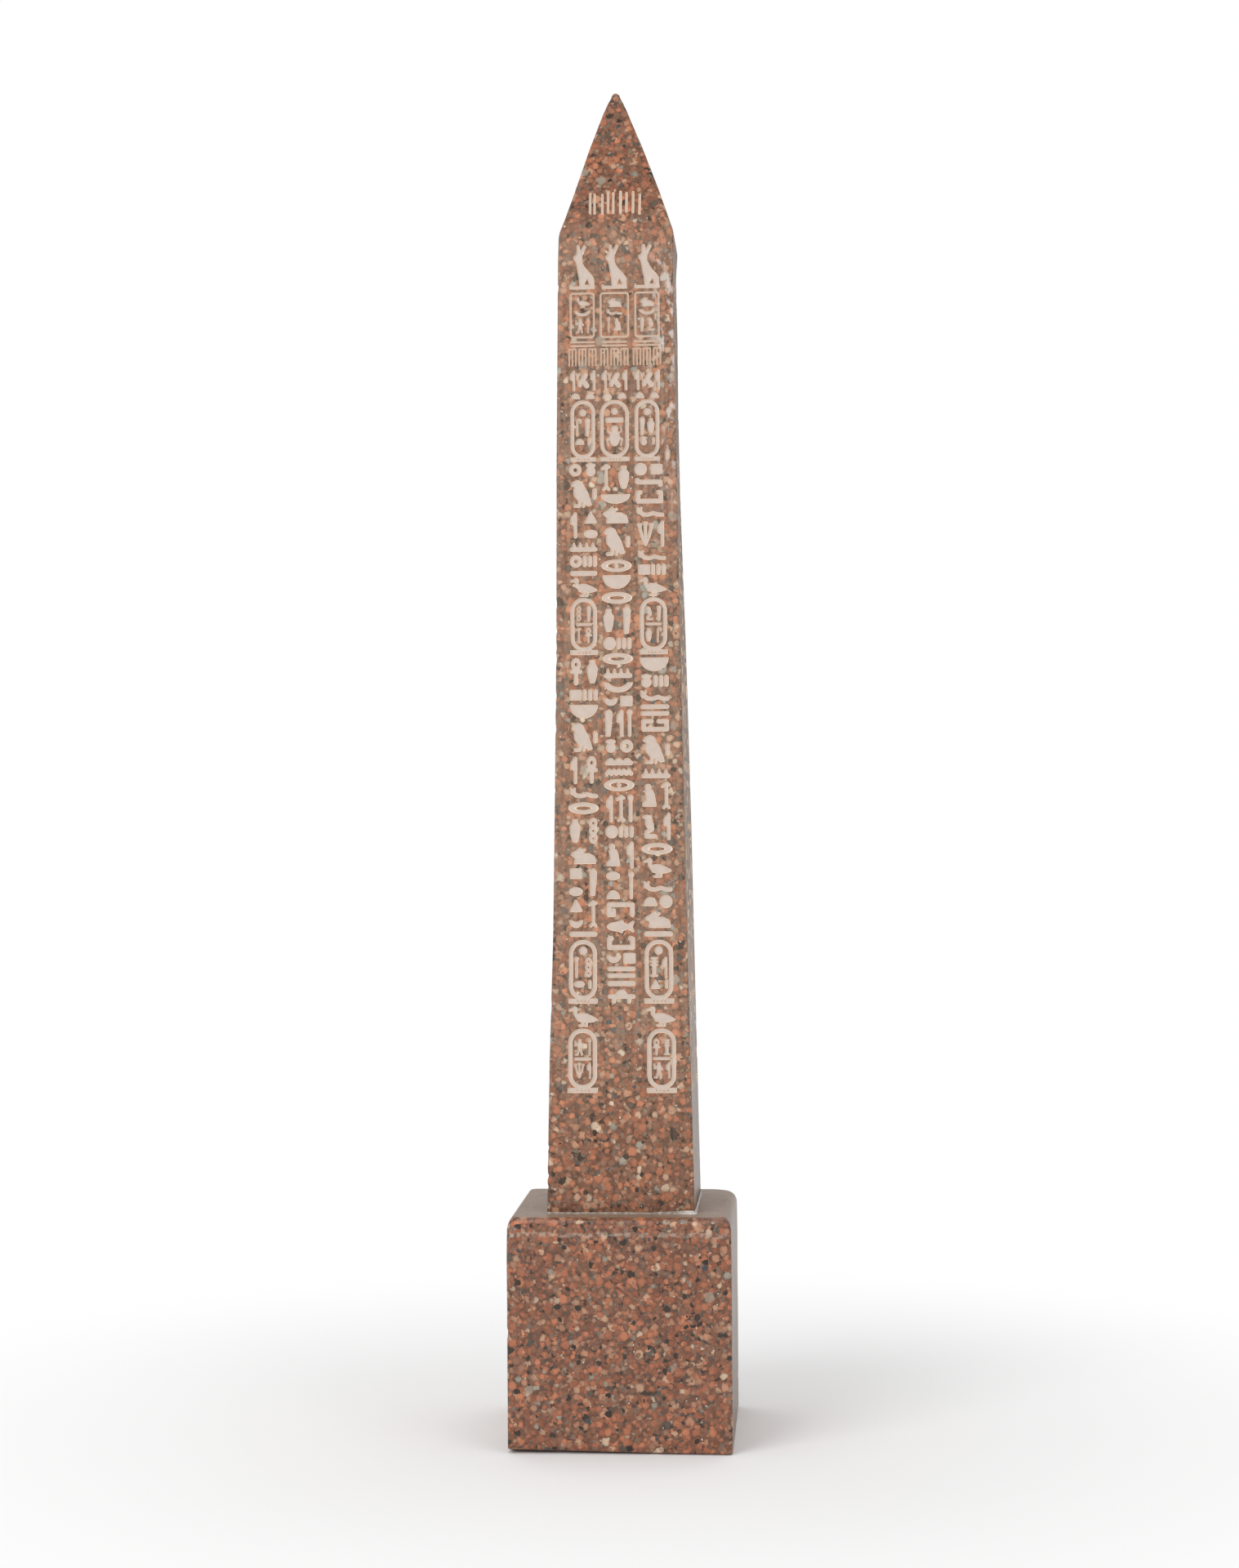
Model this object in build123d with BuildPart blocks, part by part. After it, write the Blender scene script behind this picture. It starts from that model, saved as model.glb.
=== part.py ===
from build123d import *
import os

# Desk-size model of an Egyptian obelisk in polished red granite: a square plinth block, a
# tapered square shaft cut in one piece with its pyramidion, and the resin bed that joins them.
# Each face of the shaft has three columns of blasted signs. The solid has their main forms, the
# framed panels under the shoulder and the rings.
# Millimetres, +Z up, origin at the centre of the plinth's underside, carved front towards -Y.

# Plinth block
plinth_width = 75.0
plinth_height = 78.0
plinth_top_round = 4.6  # the four top edges, ground well round
plinth_arris_round = 1.2  # the four upright arrises
plinth_foot_round = 1.0  # the edges of the underside

# Shaft and pyramidion, one stone
foot_width = 50.0
shoulder_width = 39.0
shaft_height = 330.0  # from the foot to the shoulder line
pyramidion_height = 57.0  # from the shoulder line to the apex, before it is blunted
shoulder_round = 13.0
tip_round = 2.4
shaft_arris_round = 0.8
shaft_foot_round = 0.5
face_hollow = 0.55  # how far the faces are ground in, half-way between foot and shoulder

# Blasted panels and rings, the same on all four faces
carving_depth = 0.45
column_offset_high = 10.75  # from the middle of a face to the middle of an outer column, at the panels
column_offset_low = 13.2  # the same at the lowest rings
panel_width = 8.9
panel_height = 15.4
panel_line = 0.9
panel_drop = 28.0  # from the shoulder line down to the middle of the panels
ring_width = 8.6
ring_height = 20.8
ring_line = 1.3
tie_width = 9.2
tie_height = 1.35
tie_sink = 0.34  # from the foot of a ring down to the middle of its tie bar
first_ring_drop = 66.6  # from the shoulder line down to the middle of each ring
second_ring_drop = 133.0
third_ring_drop = 249.2
fourth_ring_drop = 279.0

# Resin bed between the two stones
bed_thickness = 0.3
bead_height = 0.9  # how far the squeezed-out resin climbs the shaft
bead_reach = 1.0  # how far it spreads over the top of the plinth
bead_lip = 0.15  # thickness of the bead where it thins out on the shaft

# Levels and widths that follow from the sizes above
foot_level = plinth_height + bed_thickness
shoulder_level = foot_level + shaft_height
apex_level = shoulder_level + pyramidion_height
spread_width = foot_width + 2 * bead_reach
collar_width = foot_width + 2 * bead_lip
stock_width = foot_width + 2 * shaft_arris_round  # wider than the shaft, so that both cuts go through
column_splay = (column_offset_low - column_offset_high) / (fourth_ring_drop - panel_drop)


def shaft_elevation(plane, inset=0.0):
    """One elevation of the shaft and pyramidion, on an upright plane through the axis.

    An inset gives the stone that is left behind the carving."""
    half_foot = foot_width / 2 - inset
    half_shoulder = shoulder_width / 2 - inset
    half_waist = (half_foot + half_shoulder) / 2 - face_hollow
    waist_level = (foot_level + shoulder_level) / 2
    with BuildSketch(plane) as elevation:
        with BuildLine():
            Line((-half_foot, foot_level), (half_foot, foot_level))
            ThreePointArc((half_foot, foot_level), (half_waist, waist_level), (half_shoulder, shoulder_level))
            Polyline((half_shoulder, shoulder_level), (0, apex_level), (-half_shoulder, shoulder_level))
            ThreePointArc((-half_shoulder, shoulder_level), (-half_waist, waist_level), (-half_foot, foot_level))
        make_face()
        fillet(elevation.sketch_local.vertices().group_by(Axis.Y)[1], shoulder_round)
        fillet(elevation.sketch_local.vertices().sort_by(Axis.Y)[-1], tip_round)
    return elevation.sketch


def in_column(side, drop):
    """The place of a carving in a column, -1 left, 0 middle or 1 right, at a drop from the shoulder."""
    return (side * (column_offset_high + column_splay * (drop - panel_drop)), shoulder_level - drop)


def ring_outline(width, height):
    """A ring's outline. Its round ends are half octagons, which keeps so many rings light in faces."""
    with BuildSketch() as outline:
        Rectangle(width, height)
        chamfer(outline.vertices(), width / (2 + 2**0.5))
    return outline.sketch


def carved_elevation(plane):
    """The lines of the panels and rings on one face, on an upright plane through the axis."""
    upper = [(side, first_ring_drop) for side in (-1, 0, 1)]
    lower = [(side, drop) for side in (-1, 1) for drop in (second_ring_drop, third_ring_drop, fourth_ring_drop)]
    ring_places = [in_column(side, drop) for side, drop in upper + lower]
    with BuildSketch(plane) as carved:
        with Locations(*[in_column(side, panel_drop) for side in (-1, 0, 1)]):
            Rectangle(panel_width, panel_height)
            Rectangle(panel_width - 2 * panel_line, panel_height - 2 * panel_line, mode=Mode.SUBTRACT)
        with Locations(*ring_places):
            add(ring_outline(ring_width, ring_height))
            add(ring_outline(ring_width - 2 * ring_line, ring_height - 2 * ring_line), mode=Mode.SUBTRACT)
        with Locations(*[(x, z - ring_height / 2 - tie_sink) for x, z in ring_places]):
            Rectangle(tie_width, tie_height)
    return carved.sketch


def is_arris(edge):
    """True for the edges that climb the corners of the shaft, from its foot to the tip."""
    middle = edge.center()
    on_a_diagonal = abs(abs(middle.X) - abs(middle.Y)) < bead_lip
    return on_a_diagonal and middle.Z > foot_level + bead_height


# Plinth: a squared block with its top edges ground round, then the arrises eased
with BuildPart() as plinth:
    with BuildSketch():
        Rectangle(plinth_width, plinth_width)
    extrude(amount=plinth_height)
    fillet(plinth.edges().group_by(Axis.Z)[-1], plinth_top_round)
    fillet(plinth.edges().filter_by(Axis.Z), plinth_arris_round)
    fillet(plinth.edges().group_by(Axis.Z)[0], plinth_foot_round)
plinth.part.label = "plinth"

# Shaft: the same elevation cut through the stone from the front and from the side
with BuildPart() as shaft:
    extrude(shaft_elevation(Plane.XZ), amount=stock_width / 2, both=True)
    extrude(shaft_elevation(Plane.YZ), amount=stock_width / 2, both=True, mode=Mode.INTERSECT)
    fillet(shaft.edges().filter_by(is_arris), shaft_arris_round)
    fillet(shaft.edges().group_by(Axis.Z)[0], shaft_foot_round)

# The stone behind the carving, and the cuts down to it, through two opposite faces at a time
with BuildPart() as stone_behind:
    extrude(shaft_elevation(Plane.XZ, carving_depth), amount=stock_width / 2, both=True)
    extrude(shaft_elevation(Plane.YZ, carving_depth), amount=stock_width / 2, both=True, mode=Mode.INTERSECT)
for plane in (Plane.XZ, Plane.YZ):
    with BuildPart() as cuts:
        extrude(carved_elevation(plane), amount=stock_width / 2, both=True)
        add(stone_behind.part, mode=Mode.SUBTRACT)
    with shaft:
        add(cuts.part, mode=Mode.SUBTRACT)
shaft.part.label = "shaft"

# Resin bed: a film under the shaft, and the hollow-faced bead squeezed out around its foot
with BuildPart() as resin_bed:
    with BuildSketch(Plane.XY.offset(plinth_height)):
        RectangleRounded(spread_width, spread_width, shaft_arris_round + bead_reach)
    extrude(amount=bed_thickness)
    with BuildSketch(Plane.XY.offset(foot_level)):
        RectangleRounded(collar_width, collar_width, shaft_arris_round + bead_lip)
    extrude(amount=bead_height)
    bead_root = resin_bed.edges().filter_by(
        lambda edge: abs(edge.center().Z - foot_level) < bead_lip / 2
        and max(abs(edge.center().X), abs(edge.center().Y)) < (collar_width + bead_lip) / 2
    )
    fillet(bead_root, min(bead_height, bead_reach - bead_lip) - bead_lip)
    add(shaft.part, mode=Mode.SUBTRACT)
resin_bed.part.label = "resin_bed"

os.makedirs("parts", exist_ok=True)
export_step(plinth.part, "parts/plinth.step")
export_step(shaft.part, "parts/shaft.step")
export_step(resin_bed.part, "parts/resin_bed.step")
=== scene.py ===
# %% [markdown]
# # A desk-size obelisk in polished red granite
#
# The object is a small souvenir of stone, about 46 cm tall: a cube-like plinth, a tapered shaft
# whose top is cut to a little pyramid, and a thin bed of resin that holds the two together. All
# four sides of the shaft carry columns of blasted signs, pale and matt against the polish.
#
# The solids come from a CAD model that fixes every size. This script loads it, then puts a
# finer skin in place of each solid, in the same place and at the same size: worn edges and slightly
# hollow faces for the stones, real recesses for the signs, an uneven bead for the resin. Lengths
# are in metres, as Blender and the CAD frame have them, unless a comment says millimetres.

# %% Load the frame that everything is built around
import math
import random

import bpy
import numpy as np
from mathutils import Matrix, Vector, noise
from mathutils.geometry import delaunay_2d_cdt


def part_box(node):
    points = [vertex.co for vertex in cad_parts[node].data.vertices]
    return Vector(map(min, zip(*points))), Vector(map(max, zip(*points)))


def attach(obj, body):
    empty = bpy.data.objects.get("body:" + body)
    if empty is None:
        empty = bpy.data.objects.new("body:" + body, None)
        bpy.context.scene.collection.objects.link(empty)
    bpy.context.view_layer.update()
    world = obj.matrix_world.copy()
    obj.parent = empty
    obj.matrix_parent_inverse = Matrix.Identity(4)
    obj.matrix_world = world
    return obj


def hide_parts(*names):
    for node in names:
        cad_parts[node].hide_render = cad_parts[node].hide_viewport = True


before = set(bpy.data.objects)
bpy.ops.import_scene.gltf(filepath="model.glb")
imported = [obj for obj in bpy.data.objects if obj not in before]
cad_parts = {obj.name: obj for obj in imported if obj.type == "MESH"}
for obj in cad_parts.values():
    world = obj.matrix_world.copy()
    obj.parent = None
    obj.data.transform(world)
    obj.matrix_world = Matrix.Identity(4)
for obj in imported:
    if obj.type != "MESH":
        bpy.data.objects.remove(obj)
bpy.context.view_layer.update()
MM = 0.001
BODY = "root"

# %% [markdown]
# ## The camera
#
# The camera comes first, so that every later look can be laid over the photograph. Its place was
# worked out from the outline of the object: the shaft's sides stay nearly parallel, so the camera
# was held level, at about mid height and a metre away; the top of the plinth is seen as a thin
# band, and a sliver of the right-hand sides shows. The picture is rolled by less than half
# a degree.

# %% Camera
PHOTO_HIGH = 1920  # pixels
FOCAL_PIXELS = 3475  # distance of the picture plane, in pixels of the photograph
CAMERA_PLACE = Vector((64.6, -976.0, 222.3)) * MM
CAMERA_TURN = math.radians(3.85)  # towards the object's left
CAMERA_ROLL = math.radians(0.41)
SENSOR = 36.0  # millimetres, along the picture's long side

camera_data = bpy.data.cameras.new("camera")
camera_data.sensor_fit = "VERTICAL"
camera_data.sensor_height = SENSOR
camera_data.lens = SENSOR * FOCAL_PIXELS / PHOTO_HIGH
camera_data.clip_start = 0.01
camera = bpy.data.objects.new("camera", camera_data)
level_view = Matrix.Rotation(CAMERA_TURN, 4, "Z") @ Matrix.Rotation(math.radians(90), 4, "X")
camera.matrix_world = Matrix.Translation(CAMERA_PLACE) @ level_view @ Matrix.Rotation(-CAMERA_ROLL, 4, "Z")
bpy.context.scene.collection.objects.link(camera)
bpy.context.scene.camera = camera
print("lens in mm:", round(camera_data.lens, 1))

# %% [markdown]
# ## Writing materials as sums
#
# Each material below is a recipe of a few dozen nodes. Joined by hand they would hide the idea
# behind them, so a socket is wrapped in a small class that knows the ordinary operators. A sum of
# values then adds Math nodes, and a sum of colours or vectors adds Vector Math nodes, because a
# Math node would turn a colour grey. All other nodes come from one method, which takes the kind,
# its settings and what goes into its sockets.

# %% A socket that can be added and multiplied
# a Mix node's sockets for colours have the names of those for numbers, so they go by their places
MIX_FACTOR, MIX_FIRST, MIX_SECOND = 0, 6, 7
MIX_RESULT = 2


class Wire:
    """The output of a node, with the operators of numbers."""

    def __init__(self, recipe, socket):
        self.recipe = recipe
        self.socket = socket

    def sum(self, operation, first, second):
        parts = [part.socket.type for part in (first, second) if isinstance(part, Wire)]
        if all(kind == "VALUE" for kind in parts):
            return self.recipe.node("ShaderNodeMath", {"operation": operation}, {0: first, 1: second})
        return self.recipe.node("ShaderNodeVectorMath", {"operation": operation}, {0: first, 1: second})

    def __add__(self, other):
        return self.sum("ADD", self, other)

    def __radd__(self, other):
        return self.sum("ADD", other, self)

    def __sub__(self, other):
        return self.sum("SUBTRACT", self, other)

    def __mul__(self, other):
        return self.sum("MULTIPLY", self, other)

    def __gt__(self, other):
        return self.sum("GREATER_THAN", self, other)

    def __lt__(self, other):
        return self.sum("LESS_THAN", self, other)


class Recipe:
    """A material, or a world, and the nodes that it is made of."""

    def __init__(self, name, kept_among=bpy.data.materials):
        self.made = kept_among.new(name)
        self.made.use_nodes = True
        self.tree = self.made.node_tree
        self.tree.nodes.clear()

    def node(self, kind, settings=None, inputs=None, output=0):
        """Adds a node: first its settings, then the values or links of its sockets."""
        added = self.tree.nodes.new(kind)
        for name, value in (settings or {}).items():
            if name == "stops":
                self.set_stops(added.color_ramp, value)
            else:
                setattr(added, name, value)
        for name, value in (inputs or {}).items():
            socket = added.inputs[name]
            if isinstance(value, Wire):
                self.tree.links.new(value.socket, socket)
            elif socket.type in ("VECTOR", "RGBA") and not hasattr(value, "__len__"):
                socket.default_value = (value,) * len(socket.default_value)
            else:
                socket.default_value = value
        return Wire(self, added.outputs[output]) if len(added.outputs) else None

    def set_stops(self, ramp, stops):
        while len(ramp.elements) < len(stops):
            ramp.elements.new(1.0)
        for element, (position, colour) in zip(ramp.elements, stops):
            element.position = position
            element.color = colour

    def output_of(self, wire, name):
        """Another output of the node that a wire comes from."""
        return Wire(self, wire.socket.node.outputs[name])

    def mix(self, first, second, factor):
        """A colour between two others."""
        inputs = {MIX_FACTOR: factor, MIX_FIRST: first, MIX_SECOND: second}
        return self.node("ShaderNodeMix", {"data_type": "RGBA"}, inputs, output=MIX_RESULT)

    def ease(self, value, start, end, low=0.0, high=1.0):
        """A smooth step from low to high as a value goes from start to end."""
        settings = {"interpolation_type": "SMOOTHSTEP"}
        return self.node("ShaderNodeMapRange", settings, {0: value, 1: start, 2: end, 3: low, 4: high})

    def ramp(self, value, *stops, interpolation="LINEAR"):
        """A colour picked by a value from a row of stops."""
        wire = self.node("ShaderNodeValToRGB", {"stops": stops}, {0: value})
        wire.socket.node.color_ramp.interpolation = interpolation
        return wire

    def split(self, colour):
        """The three numbers of a colour."""
        red = self.node("ShaderNodeSeparateColor", None, {0: colour})
        return red, self.output_of(red, "Green"), self.output_of(red, "Blue")

    def surface(self, inputs):
        """Ends the recipe with a Principled surface and gives the material."""
        shader = self.node("ShaderNodeBsdfPrincipled", None, inputs)
        self.node("ShaderNodeOutputMaterial", None, {"Surface": shader})
        return self.made


def colour(red, green, blue):
    """A colour given as it looks on a screen, 0 to 255, turned into the light that it stands for."""
    light = []
    for part in (red / 255, green / 255, blue / 255):
        light.append(part / 12.92 if part < 0.04045 else ((part + 0.055) / 1.055) ** 2.4)
    return tuple(light) + (1.0,)


print("materials can be written as sums")

# %% [markdown]
# ## Granite
#
# Red granite is a packed mass of crystals. The salmon ones are feldspar, the grey and cream
# ones are quartz and a paler feldspar, and the near-black ones are mica, which gathers in clusters.
# A Voronoi texture has one cell for each crystal, and a random colour for each cell, which a
# ramp turns into the kind of mineral. One size of cell looks like tiles, so several sizes lie over
# each other, each a layer of soft-edged pebbles with gaps that show the layer below. The texture
# is read from the place in space, in millimetres, so that crystals run round the arrises and
# into the signs as they do in a solid stone.

# %% Minerals
GLOSS_HAZE = 0.022  # light that the polish adds to every colour, taken off here beforehand


def mineral(red, green, blue):
    """A colour as it looks under polish, turned into the colour of the stone beneath."""
    return tuple(max(part - GLOSS_HAZE, 0.003) for part in colour(red, green, blue)[:3]) + (1.0,)


PEBBLES = [(0.00, mineral(176, 113, 85)), (0.18, mineral(161, 102, 77)), (0.36, mineral(147, 93, 71)),
           (0.50, mineral(170, 124, 99)), (0.62, mineral(136, 97, 79)), (0.73, mineral(180, 142, 116)),
           (0.81, mineral(126, 90, 73)), (0.91, mineral(194, 166, 141)), (0.928, mineral(146, 136, 122)),
           (0.955, mineral(94, 84, 76)), (0.98, mineral(62, 55, 49))]
SMALL_PEBBLES = [(0.00, mineral(166, 108, 82)), (0.26, mineral(146, 94, 72)), (0.48, mineral(126, 88, 71)),
                 (0.62, mineral(160, 121, 98)), (0.76, mineral(122, 100, 86)), (0.87, mineral(176, 150, 127)),
                 (0.91, mineral(86, 77, 69)), (0.96, mineral(62, 56, 52))]
GROUND = [(0.00, mineral(126, 84, 67)), (0.30, mineral(108, 75, 61)), (0.52, mineral(136, 96, 77)),
          (0.70, mineral(98, 78, 67)), (0.84, mineral(122, 105, 91)), (0.92, mineral(64, 56, 50))]
PEBBLE_LAYERS = [  # size in millimetres, shift, kinds, least radius and spread of radii as shares of a cell
    (1.8, (40.0, 3.0, 11.0), SMALL_PEBBLES, 0.36, 0.30),
    (2.9, (5.0, 61.0, 23.0), PEBBLES, 0.30, 0.34),
    (2.3, (90.0, 33.0, 52.0), PEBBLES, 0.20, 0.40),
]
MICA = mineral(56, 50, 46)
SLATE = mineral(74, 78, 80)
PALE_QUARTZ = mineral(164, 152, 136)
# painted highlight: the near-white of rare glints on the polish
PAINTED_SPECK_GLINT = mineral(240, 226, 208)


def crystals(stone, spot, size, shift):
    """Cells of a size in millimetres: the distance from a cell's middle, and three random numbers."""
    settings = {"voronoi_dimensions": "3D", "feature": "F1"}
    distance = stone.node("ShaderNodeTexVoronoi", settings, {"Vector": spot + shift, "Scale": 1 / size})
    return distance, stone.split(stone.output_of(distance, "Color"))


def noise_of(stone, spot, size, detail=2.0):
    """Smooth noise with patches of about a size in millimetres."""
    return stone.node("ShaderNodeTexNoise", None, {"Vector": spot, "Scale": 1 / size, "Detail": detail})


def pebbles(stone, body, spot, size, shift, kinds, least, spread):
    """Lays a layer of soft-edged crystals over a colour. Each is lighter in its middle and darker at its
    edge: partly a dark seam between crystals, partly painted shade that makes it look like a rounded pebble.
    """
    distance, (kind, tone, room) = crystals(stone, spot, size, shift)
    edge = least + room * spread
    # painted shade: lighter in the middle of each crystal and darker towards its edge, on top of its random
    # tone
    tone_and_painted_shade = (0.76 + tone * 0.54) * stone.ease(distance, edge - 0.32, edge, 1.10, 0.68)
    crystal = stone.ramp(kind, *kinds, interpolation="CONSTANT") * tone_and_painted_shade
    return stone.mix(body, crystal, stone.ease(distance, edge, edge - 0.09))


def granite_colour(stone, spot):
    """The stone's colour at a place."""
    warp = stone.output_of(noise_of(stone, spot, 1.5), "Color")
    spot = spot + (warp - 0.5) * 1.7
    distance, (kind, tone, room) = crystals(stone, spot, 1.15, (3.1, 7.7, 1.9))
    body = stone.ramp(kind, *GROUND, interpolation="CONSTANT") * (0.85 + tone * 0.3)
    for size, shift, kinds, least, spread in PEBBLE_LAYERS:
        body = pebbles(stone, body, spot, size, shift, kinds, least, spread)

    # a few large pale crystals of quartz
    distance, (kind, tone, room) = crystals(stone, spot, 6.0, (17.0, 9.0, 2.0))
    quartz = stone.ease(distance, 0.33, 0.24) * (kind > 0.95)
    body = stone.mix(body, PALE_QUARTZ, quartz * (0.45 + tone * 0.4))

    # dark mica, which is common only where smooth noise says that it crowds
    distance, (kind, tone, room) = crystals(stone, spot, 2.3, (71.0, 5.0, 37.0))
    crowd = stone.ease(noise_of(stone, spot, 9.0), 0.52, 0.70, 0.025, 0.34)
    mica = stone.ease(distance, 0.28 + room * 0.24, 0.20 + room * 0.24) * (kind < crowd)
    body = stone.mix(body, stone.mix(MICA, SLATE, tone > 0.70), mica)

    # rare bright specks: painted glints, where the polish would catch the light
    distance, (kind, tone, room) = crystals(stone, spot, 0.8, (1.0, 2.0, 83.0))
    body = stone.mix(body, PAINTED_SPECK_GLINT, stone.ease(distance, 0.40, 0.20) * (kind > 0.988) * 0.75)
    return body * (0.84 + noise_of(stone, spot, 0.4, 3.0) * 0.32)


print("granite has", len(PEBBLES) + len(SMALL_PEBBLES) + len(GROUND), "kinds of crystal")

# %% [markdown]
# ## Polish
#
# The two stones are the same granite. The plinth shows it deep and clear. The middle of the shaft
# is a little milky, with faint upright streaks, and over the same stretch its colour is painted
# paler and brighter: painted light. Near its upper right arris white flecks are painted in as
# glints: a painted highlight. So one function makes both, and the milkiness is a number. At a
# glancing angle the colour is painted towards a pale grey that hides the crystals, as on the top of
# the plinth, and darker again at the sharpest glance: a painted reflection in place of the polish's
# sheen. A pale broken line is painted along the plinth where its sides begin to round: a painted
# highlight. The polish itself is a low roughness with smooth variation, and a bump of shallow pits.

# %% The two polished stones
MILKY = mineral(200, 174, 152)
GLANCING_SHEEN = [(0.90, mineral(160, 143, 127)), (0.96, mineral(122, 107, 95))]  # painted reflection: pale grey at a glance, painted darker at the sharpest glance
SHEEN_SETS_IN = (0.70, 0.88)  # how far a face is turned away while the painted sheen sets in, from 0 to 1
SHEEN_STRENGTH = 0.8
HIGHLIGHT_LINE_BEGIN = (71.5, 72.7)  # levels over which the painted highlight line sets in
HIGHLIGHT_LINE_END = (73.1, 73.9)  # and over which it ends
HIGHLIGHT_LINE_WANDER = 1.4  # millimetres that it strays up and down
NO_GAIN = (0.0, 0.0, 0.0, 1.0)
PAINTED_LIGHT_GAIN = (0.13, 0.31, 0.43, 1.0)  # painted light: how much brighter each colour is painted over the milky stretch of the shaft
PAINTED_LINE_LIGHT = mineral(206, 184, 166)
MILK_AND_LIGHT_FROM = (95.0, 150.0)  # millimetres above the table, over which the milkiness and the painted light set in
MILK_AND_LIGHT_TO = (404.0, 420.0)  # and over which they end
ARRIS_GLINT = colour(226, 216, 208)
GLINTS_FROM = (8.0, 16.0)  # painted highlight: white flecks near the right arris, below the shoulder
GLINTS_LOW = (300.0, 350.0)
GLINTS_HIGH = (396.0, 408.0)
GLINT_STRENGTH = 0.66
IN_MILLIMETRES = 1000  # a texture's place comes in metres


def polished_granite(name, shift, milkiness, gloss):
    """One stone's polish. A shift in millimetres picks the part of the rock that it was cut from."""
    stone = Recipe(name)
    place = stone.node("ShaderNodeTexCoord", output="Object") * IN_MILLIMETRES
    spot = place + shift
    body = granite_colour(stone, spot)
    streaks = noise_of(stone, spot * (1.0, 1.0, 0.06), 1.3, 3.0)
    across, _, level = stone.split(place)
    milky_and_lit = stone.ease(level, *MILK_AND_LIGHT_FROM, 0.4, 1.0) * stone.ease(level, *MILK_AND_LIGHT_TO, 1.0, 0.2)
    milk = stone.ease(streaks, 0.3, 0.75, 0.5 * milkiness, 1.5 * milkiness) * milky_and_lit
    # painted light: over this stretch the stone is painted paler and brighter, as if lit more strongly
    gain = stone.mix(NO_GAIN, PAINTED_LIGHT_GAIN, milky_and_lit * (5.0 * milkiness)) + 1.0
    body = stone.mix(body * gain, MILKY, milk)
    # painted highlight: a pale broken line along the plinth where its sides begin to round
    uneven = level + (noise_of(stone, spot, 7.0, 2.0) - 0.5) * HIGHLIGHT_LINE_WANDER
    highlight_line = stone.ease(uneven, *HIGHLIGHT_LINE_BEGIN) * stone.ease(uneven, *HIGHLIGHT_LINE_END, 1.0, 0.0)
    highlight_patches = stone.ease(noise_of(stone, spot, 2.2, 4.0), 0.42, 0.60, 0.05, 0.55)
    body = stone.mix(body, PAINTED_LINE_LIGHT, highlight_line * highlight_patches)
    # painted highlight: white flecks painted near the upper right arris, as glints of light on the polish
    glint_area = stone.ease(across, *GLINTS_FROM) * stone.ease(level, *GLINTS_LOW)
    glint_area = glint_area * stone.ease(level, *GLINTS_HIGH, 1.0, 0.0)
    glint_flecks = stone.ease(noise_of(stone, spot * (1.0, 1.0, 0.45), 1.6, 4.0), 0.50, 0.66)
    body = stone.mix(body, ARRIS_GLINT, glint_area * glint_flecks * GLINT_STRENGTH)
    turned = stone.node("ShaderNodeLayerWeight", None, {"Blend": 0.5}, output="Facing")
    # painted reflection: at a glancing angle the colour is painted towards grey, in place of the sheen of the
    # polish
    body = stone.mix(body, stone.ramp(turned, *GLANCING_SHEEN), stone.ease(turned, *SHEEN_SETS_IN, 0.0, SHEEN_STRENGTH))
    pits = stone.ease(noise_of(stone, spot, 0.55, 3.0), 0.60, 0.72)
    waves = noise_of(stone, spot, 9.0, 1.0)
    height = waves * 1.2 - pits * 0.5
    bump = stone.node("ShaderNodeBump", None, {"Strength": 0.5, "Distance": 0.00006, "Height": height})
    roughness = 0.30 + waves * 0.12 + pits * 0.25
    return stone.surface({"Base Color": body, "Roughness": roughness, "Normal": bump,
                          "Specular IOR Level": gloss})


shaft_granite = polished_granite("polished_granite_shaft", (0.0, 0.0, 0.0), milkiness=0.20, gloss=0.30)
plinth_granite = polished_granite("polished_granite_plinth", (211.0, 97.0, 53.0), milkiness=0.05, gloss=0.5)
print("polished:", shaft_granite.name, plinth_granite.name)

# %% [markdown]
# ## Blasted stone
#
# Where the grit has hit, the crystals are bruised: the surface scatters all light and looks
# like pale chalk, with only a trace of the colours beneath. The rim is painted as a cream line, a
# painted highlight where it would catch the light, with a thin painted dark edge at the very rim.
# The mesh carries a number, 0 at the rim and 1 at the foot of a wall, and the recipe reads
# it, so the line follows every sign at the same width.

# %% The blasted finish
CHALK = colour(206, 190, 178)
PALER_CHALK = colour(222, 208, 197)
RIM_SHADE_AND_HIGHLIGHT = [(0.0, colour(150, 112, 92)), (0.22, colour(246, 222, 198)), (0.8, colour(240, 218, 196)),
               (1.0, colour(214, 198, 185))]  # painted shade and highlight from the rim to the foot of a wall: a dark edge, a cream line, then the chalk
STONE_IN_CHALK = 0.10  # how much of the crystals' colour shows


def blasted_granite():
    """Bruised stone, for the walls and floors of the signs."""
    stone = Recipe("blasted_granite")
    spot = stone.node("ShaderNodeTexCoord", output="Object") * IN_MILLIMETRES
    body = granite_colour(stone, spot)
    cut = stone.node("ShaderNodeAttribute", {"attribute_name": "cut"}, output="Fac")
    chalk = stone.mix(CHALK, PALER_CHALK, noise_of(stone, spot, 2.4, 3.0))
    chalk = stone.mix(chalk, body, STONE_IN_CHALK)
    # painted shade and highlight: a thin dark edge at the rim, then a cream line down the wall
    line = stone.ramp(cut, *RIM_SHADE_AND_HIGHLIGHT)
    body = stone.mix(line, chalk, stone.ease(cut, 0.75, 1.0))
    grit = noise_of(stone, spot, 0.28, 4.0)
    bump = stone.node("ShaderNodeBump", None, {"Strength": 0.6, "Distance": 0.0001, "Height": grit})
    body = body * (0.93 + grit * 0.14)
    return stone.surface({"Base Color": body, "Roughness": 0.9, "Normal": bump, "Specular IOR Level": 0.2})


blasted = blasted_granite()
print("blasted:", blasted.name)

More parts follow.
